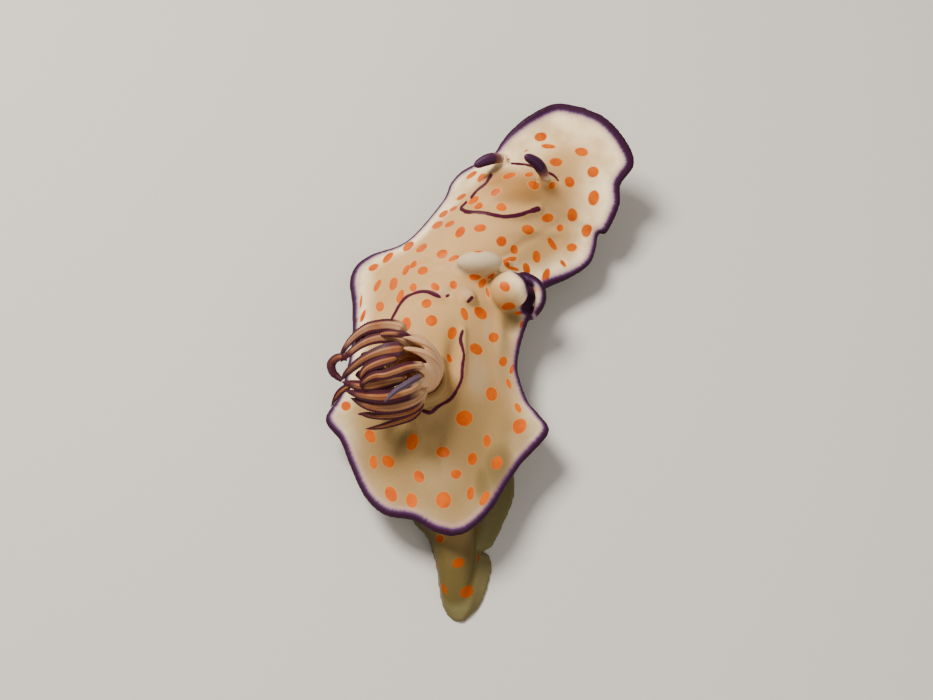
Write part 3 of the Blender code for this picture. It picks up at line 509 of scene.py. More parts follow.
for side in RHINOPHORES:
    line, _ = rhinophore_line(side, SHEATH_LINE)
    flesh.append(grid_mesh("sheath", tube_grid(line[SHEATH_POINTS], SHEATH_RADII, SHEATH_SIDES)))
turn = np.linspace(0, 2 * math.pi, POCKET_SHAPE[0])
pocket_x, pocket_y, _ = PLUME_AXIS[1]
ring = np.stack([
    pocket_x + POCKET_RADIUS * np.cos(turn), pocket_y + POCKET_RADIUS * np.sin(turn),
    np.full_like(turn, mantle_over(PLUME_AXIS[1]))], axis=1)
flesh.append(grid_mesh("pocket", tube_grid(ring, np.full(len(ring), POCKET_WALL), POCKET_SHAPE[1])))


# All of the flesh is one soft body, so its pieces are fused into one skin. The creases where its forms meet
# are filled a little, as soft tissue fills them, and the skin takes the place of every CAD node of flesh.
VOXEL = 0.25
EVENING_ROUNDS = 6
FILLING_ROUNDS = 7
VALLEY_FROM = 0.004
VALLEY_OVER = 0.02
VALLEY_LIFT = 0.7


def fuse(pieces):
    """One object that holds all the pieces, remade on a fine lattice."""
    bpy.ops.object.select_all(action="DESELECT")
    for piece in pieces:
        piece.select_set(True)
    whole = pieces[0]
    bpy.context.view_layer.objects.active = whole
    bpy.ops.object.join()
    step = whole.modifiers.new("remesh", "REMESH")
    step.mode = "VOXEL"
    step.voxel_size = VOXEL * MM
    view = bpy.context.evaluated_depsgraph_get()
    view.update()
    mesh = bpy.data.meshes.new_from_object(whole.evaluated_get(view))
    whole.modifiers.clear()
    whole.data = mesh
    return whole


def read_mesh(mesh):
    """Places in millimetres, normals and edges of a mesh, as arrays."""
    places = np.empty(len(mesh.vertices) * 3, np.float32)
    normals = np.empty(len(mesh.vertices) * 3, np.float32)
    edges = np.empty(len(mesh.edges) * 2, np.int32)
    mesh.vertices.foreach_get("co", places)
    mesh.vertices.foreach_get("normal", normals)
    mesh.edges.foreach_get("vertices", edges)
    places, normals = (values.reshape(-1, 3).astype(float) for values in (places, normals))
    return places / MM, normals, edges.reshape(-1, 2)


def move_points(mesh, places):
    """Put the points of a mesh at places in millimetres."""
    mesh.vertices.foreach_set("co", (places * MM).ravel())
    mesh.update()


def pull(places, edges):
    """For each point, the step to the middle of its neighbours."""
    count = np.bincount(edges.ravel(), minlength=len(places))
    out = np.empty_like(places)
    for k in range(3):
        total = np.bincount(edges[:, 0], places[edges[:, 1], k], minlength=len(places))
        total += np.bincount(edges[:, 1], places[edges[:, 0], k], minlength=len(places))
        out[:, k] = total / np.maximum(count, 1)
    return out - places


def relax(mesh):
    """Even out the lattice without shrinking it, then lift only the points that lie in valleys."""
    places, _, edges = read_mesh(mesh)
    for _ in range(EVENING_ROUNDS):
        places = places + 0.5 * pull(places, edges)
        places = places - 0.52 * pull(places, edges)
    move_points(mesh, places)
    for _ in range(FILLING_ROUNDS):
        places, normals, edges = read_mesh(mesh)
        step = (pull(places, edges) * normals).sum(axis=1)
        lift = np.clip(step, 0.0, None) * smooth_step((step - VALLEY_FROM) / VALLEY_OVER)
        places = places + VALLEY_LIFT * lift[:, None] * normals
        move_points(mesh, places)
    places[:, 2] = np.maximum(places[:, 2], 0.0)
    move_points(mesh, places)


skin = fuse(flesh)
skin.name = "skin"
relax(skin.data)
skin.data.shade_smooth()
FLESH_NODES = (
    "mantle_front", "mantle_middle", "mantle_rear", "mantle_fold", "mantle_swelling", "trunk_front",
    "trunk_rear", "head", "oral_tentacle_left", "oral_tentacle_right", "rhinophore_sheath_left",
    "rhinophore_sheath_right", "gill_pocket", "foot_front", "foot_middle", "tail",
)
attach(skin, "root")
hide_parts(*FLESH_NODES)


# Markings of the skin: round orange spots, a dark purple band along the margin, and thin broken purple rings
# round the rhinophores and the gills. The skin's own cells hold the colours, so each marking is kept at the
# skin's points, as a distance to its edge.

# Each spot: pixel of the photograph, length and width there, and tilt in degrees, rising to the right.
SPOTS = (
    (540.5, 137, 12.5, 9, 8), (548.5, 146.5, 14.5, 4.5, -2), (526.5, 150.5, 5, 1.5, 25),
    (581.5, 152, 13.5, 8.5, -10), (556, 162, 13, 8.5, -3), (593, 172, 11.5, 11, 0),
    (569.5, 182, 11.5, 9.5, -60), (593.5, 198, 15, 11, 80), (572.5, 215, 13.5, 10, -80),
    (547.5, 218, 12, 9, 10), (560, 228, 7, 7, 0), (528, 229.5, 13, 9, -15), (586.5, 230.5, 13.5, 10, 65),
    (552, 244, 15, 6, -55), (501.5, 241.5, 10.5, 10.5, 0), (514, 249.5, 9.5, 7.5, -80),
    (571.5, 247.5, 10.5, 8.5, 0), (536.5, 256.5, 12.5, 8, -80), (511, 259, 11, 4, -3),
    (563, 263.5, 9, 4, -50), (526.5, 269, 12.5, 7, -75), (546, 275.5, 14.5, 7, 72),
    (506.5, 263.5, 8, 5.5, -50), (512.5, 268.5, 14, 3.5, -15), (475, 277, 13, 6.5, -5),
    (482, 283.5, 10, 7, 60), (491, 276, 9, 3.5, 35), (487.5, 292, 12, 3, -75), (504.5, 286.5, 12, 9.5, -45),
    (508.5, 307.5, 14, 7, 8), (518.5, 313, 11, 3.5, 8), (453.5, 285, 9.5, 7.5, -70),
    (464.5, 314, 13.5, 6.5, -70), (480.5, 313, 15, 10.5, -45), (442, 253.5, 12, 8.5, 18),
    (453.5, 258, 12, 5, 22), (508, 159.5, 4, 2, 15), (509.5, 175.5, 14, 5.5, 15), (529, 174.5, 9, 4.5, 10),
    (533.5, 185, 12, 8, -30), (552, 185.5, 9, 6, 50), (495.5, 192, 11.5, 6.5, 30), (471.5, 175, 13, 4.5, 35),
    (482, 178, 11, 6, 42), (461.5, 197, 11, 4.5, 30), (473.5, 200.5, 12.5, 6, 35),
    (478.5, 206.5, 9.5, 5.5, 25), (454, 208.5, 10, 3.5, 30), (443.5, 214, 11, 5, 35), (437.5, 225, 12, 6, 30),
    (449.5, 224, 11, 5, 30), (460, 232, 13, 8, 50), (480, 228, 13, 8, 8), (501.5, 207.5, 11, 8, -5),
    (408.5, 246.5, 13, 6.5, 40), (421.5, 248, 13, 7, 35), (388, 257.5, 14, 6, 45), (373.5, 267.5, 11, 6, 28),
    (377.5, 285.5, 14, 5, 62), (393.5, 284, 15, 8, 75), (406, 270, 12, 5.5, 62), (413.5, 265, 8.5, 6, 50),
    (422.5, 270.5, 11, 9, 20), (413, 287, 8.5, 7, 70), (435, 286.5, 10, 7.5, -35), (400, 296, 14.5, 6.5, 70),
    (361, 301.5, 18, 2.5, 84), (380, 306.5, 10.5, 8.5, 80), (363, 316, 13, 4, 70), (355, 323, 11, 2.5, 62),
    (426.5, 303.5, 10.5, 9, 20), (431.5, 320.5, 12, 11.5, 35), (406, 324, 14, 10, 80), (452, 333, 13, 9, 75),
    (493.5, 337.5, 10.5, 10, 0), (518, 343.5, 13, 3, 82), (522, 324.5, 8, 5, 70), (476, 349, 14, 10.5, -35),
    (503, 361.5, 10.5, 8, 80), (512, 369, 11, 4.5, 75), (449, 358, 10, 4.5, -70),
    (508.5, 383.5, 11, 4.5, -70), (491.5, 394, 14, 11.5, -80), (464.5, 418, 16.5, 16, 0),
    (518, 408, 11, 5.5, -60), (519.5, 426, 16, 13.5, 60), (346, 406, 10, 9.5, 0),
    (379.5, 368.5, 10, 7, 30), (370.5, 436.5, 14, 10, -60), (412, 442, 17, 11.5, 75), (487, 441, 13, 8, 88),
    (443, 452, 14, 11, -5), (472.5, 459, 13, 9.5, 80), (497, 463, 14, 11, 65), (373.5, 462, 14, 8, -85),
    (388, 461.5, 14.5, 11, -45), (456, 474, 11, 9.5, 0), (419, 476.5, 13, 10, -60),
    (391, 494, 16.5, 11.5, -65), (411.5, 500.5, 15, 12, -80), (443.5, 500, 17, 15.5, 90),
    (470.5, 493.5, 14, 7.5, 85), (484.5, 498.5, 16, 8, 60), (439.5, 539, 8, 8, 0),
    (458.5, 563, 12.5, 9.5, 25), (467, 591.5, 14.5, 10.5, 50), (443.5, 588.5, 13, 4.5, -65),
    (478.5, 557, 10, 2, 88), (436, 564.5, 9, 2.5, -72), (424, 530, 7, 2.5, -65),
)
# Each thin purple line: its half-width, and pixels of the photograph along it.
RING_LINES = (
    (0.20, (512, 163.5), (518.5, 164), (527, 165), (538, 169), (548.5, 173), (552, 174.5), (556.5, 178),
     (558, 180.5)),
    (0.23, (491, 175), (486.5, 182.5), (477, 190.5), (471.5, 197)),
    (0.25, (466, 202.5), (461, 208.5), (464.5, 211), (476.5, 212), (486.5, 213), (496, 215.5), (506, 216.5),
     (518.5, 215), (531, 211), (537, 209.5), (539.5, 209.5)),
    (0.36, (533.5, 210), (536, 209.5), (538.5, 209)),
    (0.34, (392, 319.5), (395.5, 313.5), (400.5, 304.5), (407.5, 297), (415.5, 293.5), (425, 292), (433, 294),
     (438.5, 297)),
    (0.22, (447, 296.5), (447.5, 296), (448.5, 295.5)),
    (0.20, (462.5, 331), (460.5, 339), (462.5, 348), (464, 355), (462.5, 365.5), (462, 377), (457, 389.5),
     (450, 399.5), (439.5, 405.5), (429.5, 412.5), (423, 410.5)),
    (0.26, (468.5, 301.5), (470, 300), (472, 298)),
)
# Where the margin is folded up beside the knob, and curled: how much narrower its band is, and pixels. In the
# gap between the knob and the curl the dark band is partly the purple margin and partly painted shade.
FOLD_LINES = (
    (0.2, (518.5, 273.5), (521.5, 276), (525, 280), (527.5, 286), (528.5, 293), (528, 301), (526, 309)),
    (0.3, (528.5, 283), (530.5, 290), (531.5, 297), (531, 305), (529, 311)),
    (0.36, (521, 272.5), (527, 273.5), (533, 276), (539, 280), (543.5, 286), (545.5, 293), (545, 300),
     (542.5, 307), (539, 313)),
)
# Low forms of the back: pixel of the photograph, width and height there, and rise.
RELIEFS = (
    (424, 322, 80, 60, 0.7), (453, 368, 18, 72, -0.7), (430, 424, 60, 26, -0.35), (524, 186, 66, 36, 0.45),
    (500, 203, 62, 16, -0.35), (580, 152, 80, 80, -0.4), (507, 262, 12, 8, 0.35), (540, 232, 60, 14, 0.25),
    (440, 270, 60, 12, -0.25), (500, 330, 16, 70, 0.3), (500, 448, 30, 70, 0.35), (440, 440, 50, 40, -0.35),
    (360, 430, 30, 30, 0.3),
)
# Creases of the back: pixels along each, and its depth; a depth below 0 is a ridge.
CREASES = (
    (((447, 259), (438, 260.5), (428, 263), (416, 263)), 0.3),
    (((392, 319), (395.5, 313), (400.5, 303.5), (407.5, 296), (415.5, 292), (425, 290.5), (438.5, 295.5),
     (446, 295)), 0.3),
    (((446, 297), (450, 293), (453, 288)), 0.25),
    (((505, 258), (520, 246), (540, 234), (560, 224)), 0.12),
    (((512, 163), (527, 165), (549, 173), (558, 180)), 0.2),
    (((491, 175), (477, 190), (461, 208), (476, 212), (496, 215), (518, 215), (539, 209)), -0.3),
    (((462.5, 331), (463, 356), (460, 380), (450, 399.5), (429.5, 412.5)), -0.3),
)
# Share of the way round the margin, from the rear by the left side, and how much wider the band is.
MARGIN_WIDER = (
    (0.0, -0.1), (0.12, -0.1), (0.29, -0.1), (0.33, -0.12), (0.38, -0.1), (0.43, 0.0), (0.5, 0.15),
    (0.545, 0.25), (0.575, 0.1), (0.6, -0.1), (0.635, -0.15), (0.65, -0.28), (0.7, -0.25), (0.73, 0.0),
    (0.76, -0.25), (0.86, -0.25), (0.9, -0.1), (0.93, -0.2), (1.0, -0.15),
)
# Tints and painted shade: pixel of the photograph, width and height there, and strength.
# Tan: partly the tan of the clear flesh, as between the rhinophores, partly painted shade, as on the slope
# beside the gill stalk, on the lower side of the swelling and below the knob.
TAN_AND_SHADE_AREAS = (
    (520, 188, 66, 36, 0.8), (500, 178, 44, 26, 0.8), (548, 190, 26, 26, 0.55), (452, 368, 26, 80, 0.35),
    (425, 322, 60, 40, 0.15), (462, 292, 34, 24, 0.25), (440, 300, 24, 12, 0.3), (505, 305, 44, 30, 0.25),
    (470, 205, 20, 12, 0.3), (484, 276, 48, 18, 0.4), (500, 296, 30, 30, 0.3), (400, 290, 60, 40, 0.2),
)
# Painted shade: darker olive where the flanks turn down out of the light, along the rear margin and under the
# gills.
PAINTED_SHADE_AREAS = (
    (499, 470, 46, 76, 0.9), (494, 502, 22, 26, 0.8), (484, 484, 30, 56, 0.85), (480, 435, 40, 30, 0.35),
    (513, 320, 26, 30, 0.9), (508, 372, 34, 110, 0.45), (522, 450, 30, 30, 0.55), (402, 438, 64, 30, 0.8),
    (378, 480, 26, 50, 0.4), (430, 515, 50, 16, 0.6),
)
# Painted shade that takes the white from the margin where the right flank lies in shade.
SHADED_PLAIN_AREAS = ((510, 372, 40, 120, 0.85), (526, 450, 34, 36, 0.8), (505, 330, 30, 40, 0.7))
PALE_AREAS = (
    (466, 292, 15, 15, 0.5), (446, 293, 14, 8, 0.6), (486, 330, 8, 24, 0.3), (478, 376, 20, 40, 0.35),
    (440, 480, 50, 36, 0.12),
)
CREASE_HALF = 0.55
SPOT_LEAST = 0.12
SPOT_MOST = 1.15
HIDDEN_SPOTS = 90
HIDDEN_SEED = 7
HIDDEN_RADIUS = 0.62
HIDDEN_APART = 2.7
HIDDEN_FROM_MARGIN = 1.7
FLANK_BAND = (1.5, 5.5)  # heights between which the flanks may have spots
SEEN_WITHIN = 0.5
MARGIN_POINTS = 900
LINE_REACH = 4.0
BATCH = 4000  # points of the skin that are measured at a time
RELIEF_SPREAD = 1.6
RELIEF_DEEP = 7.0
TINT_DEEP = 5.0
BAND_WIDTH = 1.2
# Below this height the foot and tail take their olive grey, darkened with painted shade, as they lie under
# the mantle.
FOOT_TOP = 5.0
FOOT_FADE = 2.0
FLANGE_TOP = 1.7
FLANGE_FADE = 0.6
# Painted shade that darkens the rear of the back toward olive, away from the margin's band.
REAR_SHADE = 0.58
REAR_FROM = 2.0  # along the model, from where the rear darkens
REAR_FADE = 14.0
# Painted shade that takes the white from the margin toward the rear.
PLAIN_SHADE = 0.8
PLAIN_FROM = -10.5
PLAIN_FADE = 5.0
WHITE_REACH = 2.8
# Painted light: on the lit hood the white reaches further in.
HOOD_LIGHT_REACH = 3.0  # how much further the white reaches in on the hood
HOOD_FROM = 15.0
HOOD_FADE = 7.0


def on_skin(x, y):
    """Place and normal where the ray through a pixel of the photograph meets the skin."""
    place, normal, _, _ = skin_tree.ray_cast(eye, Vector(photo_ray(x, y)))
    return np.array(place) / MM, np.array(normal)


def skin_line(pixels):
    """The smooth curve through some pixels of the photograph, dropped on the skin, as close points."""
    count = max(4, int(run_along(np.array(pixels, float))[-1]))
    return np.array([on_skin(x, y)[0] for x, y in even_curve(pixels, count)])


def margin_line():
    """The margin of the mantle as a line of close points, at the middle of its rim."""
    ribs = np.linspace(0, len(RIBS) - 1, MARGIN_POINTS)
    ends = []
    for side in (-1.0, 1.0):
        across, along, up = mantle_top(ribs, side)
        ends.append(bend(across, along, up - RIM_THICK / 2))
    return np.concatenate([ends[0], ends[1][::-1]])


def nearest_on(line):
    """For each point of the skin, how far the nearest point of a line is, if in reach, and its number."""
    gap = np.full(len(places), 2 * LINE_REACH)
    number = np.zeros(len(places))
    low, high = line.min(axis=0) - LINE_REACH, line.max(axis=0) + LINE_REACH
    near = np.flatnonzero(((places > low) & (places < high)).all(axis=1))
    for part in np.array_split(near, len(near) // BATCH + 1):
        steps = places[part][:, None].astype(np.float32) - line[None].astype(np.float32)
        squares = (steps ** 2).sum(axis=2)
        gap[part] = np.sqrt(squares.min(axis=1))
        number[part] = squares.argmin(axis=1)
    return gap, number


def line_distance(line):
    """For each point of the skin, the distance to a line."""
    return nearest_on(line)[0]


def area_gap(x, y, wide, high, deep, facing):
    """Squared distance of the skin's points from the middle of an area of the photograph, in its half-sizes.

    It is endless more than 'deep' before or behind that place, and where the skin turns from the camera.
    """
    centre, middle = on_skin(x, y)[0], photo_ray(x, y)
    away = np.linalg.norm(camera_place - centre)
    half_wide = np.linalg.norm(photo_ray(x + wide / 2, y) - middle) * away
    half_high = np.linalg.norm(photo_ray(x, y - high / 2) - middle) * away
    off = places - centre
    gap = (off[:, 0] / half_wide) ** 2 + (off @ camera_up / half_high) ** 2
    return np.where((np.abs(off @ camera_back) < deep) & (normals @ camera_back > facing), gap, np.inf)


def relief():
    """The skin's rise at each point: a bell curve round each low form, and one across each crease."""
    rise = np.zeros(len(places))
    for *area, height in RELIEFS:
        rise += height * np.exp(-RELIEF_SPREAD * area_gap(*area, RELIEF_DEEP, 0.0))
    for pixels, depth in CREASES:
        rise -= depth * np.exp(-(line_distance(skin_line(pixels)) / CREASE_HALF) ** 2)
    return rise


def tint(areas):
    """How much of a tint, or of painted shade, each point has: a bell curve round each area, with a flat
    middle.
    """
    amount = np.zeros(len(places))
    for *area, strength in areas:
        amount = np.maximum(amount, strength * np.exp(-area_gap(*area, TINT_DEEP, -0.2) ** 1.5))
    return amount


def swelling_share():
    """1 on the ovals of the swelling and 0 off them, from the scaled distance to their middles."""
    share = np.zeros(len(places))
    for (across, along), rise, half, _ in BULGES[1:3]:
        centre = bend(across, along, mantle_height(across, along) + rise)
        reach = np.linalg.norm((places - centre) / np.array(half), axis=1)
        share = np.maximum(share, smooth_step((1.13 - reach) / 0.1) * (normals[:, 2] > -0.2))
    return share


def spot_axes(x, y, long, wide, tilt):
    """Centre, normal and two half-axes of a spot, from its middle and its edges in the photograph."""
    centre, normal = on_skin(x, y)
    ray = photo_ray(x, y)
    facing = max(abs(ray @ normal), 0.3) * np.sign(ray @ normal)
    c, s = math.cos(math.radians(tilt)), math.sin(math.radians(tilt))
    axes = []
    for dx, dy in ((long / 2 * c, -long / 2 * s), (wide / 2 * s, wide / 2 * c)):
        way = (photo_ray(x + dx, y + dy) - ray) * np.linalg.norm(camera_place - centre)
        flat = way - ray * (way @ normal) / facing
        size = np.linalg.norm(flat)
        axes.append(flat / size * np.clip(size, SPOT_LEAST, SPOT_MOST))
    return centre, normal, *axes


def spot_distance(spots):
    """Distance to the edge of the nearest spot, negative inside it: each spot is an oval in its own plane."""
    best = np.full(len(places), 3.0)
    for centre, normal, first, second in spots:
        off = places - centre
        near = np.flatnonzero((np.abs(off) < 2.6).all(axis=1))
        off = off[near]
        gram = np.array([[first @ first, first @ second], [first @ second, second @ second]])
        read = np.linalg.solve(gram, np.stack([off @ first, off @ second]))
        size = math.sqrt(np.linalg.norm(first) * np.linalg.norm(second))
        reach = np.sqrt((read ** 2).sum(axis=0) + (off @ normal / 1.5) ** 2)
        best[near] = np.minimum(best[near], (reach - 1) * size)
    return best


def seen(place, first, second):
    """Whether the camera sees a place, or one a millimetre from it, as no other skin is before it."""
    for a, b in ((0, 0), (1, 0), (-1, 0), (0, 1), (0, -1)):
        way = Vector((place + a * first + b * second) * MM) - eye
        hit = skin_tree.ray_cast(eye, way.normalized())[3] or 0.0
        if abs(hit - way.length) < SEEN_WITHIN * MM:
            return True
    return False


def hidden_spots(known):
    """Spots on the sides that the photograph doesn't show, spread at random but well apart."""
    draw = np.random.default_rng(HIDDEN_SEED)
    margin = margin_line()[::6]
    centres = [spot[0] for spot in known]
    out = []
    for index in draw.permutation(len(places)):
        place, normal = places[index], normals[index]
        if len(out) == HIDDEN_SPOTS:
            break
        flank = FLANK_BAND[0] < place[2] < FLANK_BAND[1] and normal[2] > -0.3
        if not (flank or normal[2] > 0.1) or mouth_gap[index] < MOUTH_CLEAR:
            continue
        if np.linalg.norm(margin - place, axis=1).min() < HIDDEN_FROM_MARGIN:
            continue
        if min(np.linalg.norm(centre - place) for centre in centres) < HIDDEN_APART:
            continue
        first = np.cross(normal, (0.0, 0.0, 1.0)) if abs(normal[2]) < 0.9 else np.array((1.0, 0.0, 0.0))
        first = first / np.linalg.norm(first)
        second = np.cross(normal, first)
        if seen(place, first, second):
            continue
        size = HIDDEN_RADIUS * draw.uniform(0.75, 1.25)
        out.append((place, normal, first * size * draw.uniform(0.85, 1.15), second * size))
        centres.append(place)
    return out


def keep_values(piece, name, values):
    """Store one number for each point of a piece, cut or filled to its count of points."""
    attribute = piece.data.attributes.new(name, "FLOAT", "POINT")
    full = np.resize(values, len(piece.data.vertices)).astype(np.float32)
    attribute.data.foreach_set("value", full)


eye = Vector(camera_place * MM)
places, normals, _ = read_mesh(skin.data)
skin_tree = BVHTree.FromObject(skin, bpy.context.evaluated_depsgraph_get())
mouth_gap = line_distance(mouth_line())
rise = relief() + mouth_rise(mouth_gap)
move_points(skin.data, places + rise[:, None] * normals)
places, normals, _ = read_mesh(skin.data)
skin_tree = BVHTree.FromObject(skin, bpy.context.evaluated_depsgraph_get())

spots = [spot_axes(*spot) for spot in SPOTS]
spots += hidden_spots(spots)
_, ahead, up = places.T
margin = margin_line()
margin_gap, margin_place = nearest_on(margin)
wider = np.interp(margin_place / (len(margin) - 1), *np.transpose(MARGIN_WIDER))
margin_gap -= wider * (margin_gap < 3.0)
for less, *pixels in FOLD_LINES:
    margin_gap = np.minimum(margin_gap, line_distance(skin_line(pixels)) + less)
ring_gap = np.full(len(places), 2 * LINE_REACH)
for half, *pixels in RING_LINES:
    ring_gap = np.minimum(ring_gap, line_distance(skin_line(pixels)) - half)
feeler_gap = line_distance(np.concatenate(feelers)) - TENTACLE_RADIUS
off_head = smooth_step(np.minimum(feeler_gap, mouth_gap - LIP_OUT) / 0.6)
off_band = smooth_step((margin_gap - 0.4) / 1.2)
# Painted shade: the rear of the back and the shaded areas turn olive.
painted_rear_shade = REAR_SHADE * smooth_step((REAR_FROM - ahead) / REAR_FADE) * off_band
# Painted shade takes the white from the rear and from the shaded right flank.
shaded_plain_share = np.maximum(PLAIN_SHADE * smooth_step((PLAIN_FROM - ahead) / PLAIN_FADE), tint(SHADED_PLAIN_AREAS))
# Painted light widens the white on the hood.
white_and_light_reach = WHITE_REACH + HOOD_LIGHT_REACH * smooth_step((ahead - HOOD_FROM) / HOOD_FADE)
# Besides the markings, the skin's points keep shares of tints, of painted shade on the foot, the tail, the
# rear of the back and the shaded flanks, and of painted light that widens the white on the hood.
markings = {
    "spot": spot_distance(spots),
    "margin": margin_gap,
    "margin_place": margin_place * 0.2,
    "ring": ring_gap,
    "mouth": mouth_gap,
    # Share of the foot's colour: its own olive grey, darkened with painted shade.
    "foot": smooth_step((FOOT_TOP - up) / FOOT_FADE) * (margin_gap > BAND_WIDTH) * off_head,
    "flange": smooth_step((FLANGE_TOP - up) / FLANGE_FADE),
    "rear": np.maximum(painted_rear_shade, tint(PAINTED_SHADE_AREAS)),
    "white": (1 - smooth_step((margin_gap - BAND_WIDTH) / white_and_light_reach)) * (1 - shaded_plain_share),
    "tan": tint(TAN_AND_SHADE_AREAS),
    "pale": np.maximum(tint(PALE_AREAS), swelling_share()),
}
for name, values in markings.items():
    keep_values(skin, name, values)


# The skin's finish: milky cream flesh that light enters a little way, wet and softly glossy, whiter near the
# margin and greyer and clearer on the foot, with the markings in it. Painted shade darkens the foot and tail,
# the rear of the back and the shaded flanks, and painted light widens the white on the hood.
CREAM = (0.475, 0.28, 0.112)
SHADED_CREAM = (0.41, 0.24, 0.092)
WHITE = (0.95, 0.76, 0.46)
# Tan of the clear flesh, also used as painted shade in hollows and below the knob.
TAN_AND_SHADE = (0.262, 0.111, 0.025)
# Olive of the painted shade on the rear of the back and on the shaded flanks.
PAINTED_SHADE_OLIVE = (0.105, 0.073, 0.024)
MOUTH_BROWN = (0.10, 0.035, 0.02)
PALE_GREY = (0.443, 0.344, 0.213)
ORANGE = (0.492, 0.086, 0)
DEEP_ORANGE = (0.394, 0.056, 0)
SHADED_ORANGE = (0.164, 0.025, 0)
HALO = (0.574, 0.271, 0.066)
PURPLE = (0.026, 0.006, 0.020)
VIOLET = (0.062, 0.022, 0.085)
LILAC = (0.344, 0.205, 0.246)
RING = (0.049, 0.005, 0.018)
# The foot's and the flange's own olive grey, darkened with painted shade.
FOOT_OLIVE_AND_SHADE = (0.082, 0.059, 0.018)
FLANGE_GREY_AND_SHADE = (0.115, 0.094, 0.039)


class Nodes:
    """A tree of shader nodes, with short calls for the few nodes these finishes use."""

    def __init__(self, tree):
        """Work on that tree."""
        self.tree = tree

    def fill(self, socket, value):
        """Give a socket a number, a colour or the output of another node."""
        if isinstance(value, tuple):
            socket.default_value = (*value, 1.0)
        elif isinstance(value, (int, float)):
            socket.default_value = value
        else:
            self.tree.links.new(value, socket)

    def add(self, kind, inputs, **settings):
        """A new node with those settings, its inputs filled by name or number."""
        node = self.tree.nodes.new(kind)
        for key, value in settings.items():
            setattr(node, key, value)
        for key, value in inputs.items():
            self.fill(node.inputs[key], value)
        return node

    def attribute(self, name, kind="Fac"):
        """What the piece keeps at its points under that name."""
        return self.add("ShaderNodeAttribute", {}, attribute_name=name).outputs[kind]

    def math(self, kind, *values):
        """The result of a sum."""
        return self.add("ShaderNodeMath", dict(enumerate(values)), operation=kind).outputs[0]

    def ramp(self, value, low, high, start=0.0, end=1.0):
        """start below low, end above high, and a smooth step between."""
        inputs = {"Value": value, "From Min": low, "From Max": high, "To Min": start, "To Max": end}
        return self.add("ShaderNodeMapRange", inputs, interpolation_type="SMOOTHSTEP").outputs["Result"]

    def mix(self, share, first, second):
        """The first colour where the share is 0, and the second where it is 1."""
        return self.add("ShaderNodeMix", {0: share, 6: first, 7: second}, data_type="RGBA").outputs[2]

    def noise(self, scale, detail=3.0):
        """A cloudy noise that is fixed to the piece."""
        place = self.add("ShaderNodeTexCoord", {}).outputs["Object"]
        inputs = {"Vector": place, "Scale": scale, "Detail": detail}
        return self.add("ShaderNodeTexNoise", inputs).outputs["Fac"]

    def waver(self, value, noise, size):
        """A value that a noise moves up or down by half of size at most."""
        return self.math("ADD", value, self.math("MULTIPLY_ADD", noise, size, -size / 2))


def wet_group():
    """Shared by all soft finishes: a fine grain that varies the gloss and raises the surface a little."""
    group = bpy.data.node_groups.new("wet_grain", "ShaderNodeTree")
    for name, way in (("Scale", "INPUT"), ("Gloss", "INPUT"), ("Roughness", "OUTPUT"), ("Height", "OUTPUT")):
        group.interface.new_socket(name, in_out=way, socket_type="NodeSocketFloat")
    n = Nodes(group)
    start = n.add("NodeGroupInput", {}).outputs
    grain = n.noise(start["Scale"], 4.0)
    rough = n.math("MULTIPLY_ADD", grain, 0.25, start["Gloss"])
    n.add("NodeGroupOutput", {"Roughness": rough, "Height": grain})
    return group


wet_grain = wet_group()


def new_finish(name):
    """A new material and its nodes."""
    material = bpy.data.materials.new(name)
    material.use_nodes = True
    return material, Nodes(material.node_tree)


def soft_finish(n, base, scale, gloss, raised, depth, weight, shine):
    """Fill the shader: a base colour, wet grain, and light that enters so deep, in metres, and leaves redder.

    The shine is low, since the skin is seen as it looks under water, where wet flesh hardly mirrors.
    """
    wet = n.add("ShaderNodeGroup", {"Scale": scale, "Gloss": gloss}, node_tree=wet_grain)
    bump = n.add("ShaderNodeBump", {"Strength": raised, "Distance": 0.0002, "Height": wet.outputs["Height"]})
    shader = n.tree.nodes["Principled BSDF"]
    for name, value in (
            ("Base Color", base), ("Roughness", wet.outputs["Roughness"]), ("Normal", bump.outputs["Normal"]),
            ("Subsurface Weight", weight), ("Subsurface Scale", depth), ("IOR", 1.36),
            ("Specular IOR Level", shine)):
        n.fill(shader.inputs[name], value)
    shader.inputs["Subsurface Radius"].default_value = (1.0, 0.5, 0.27)


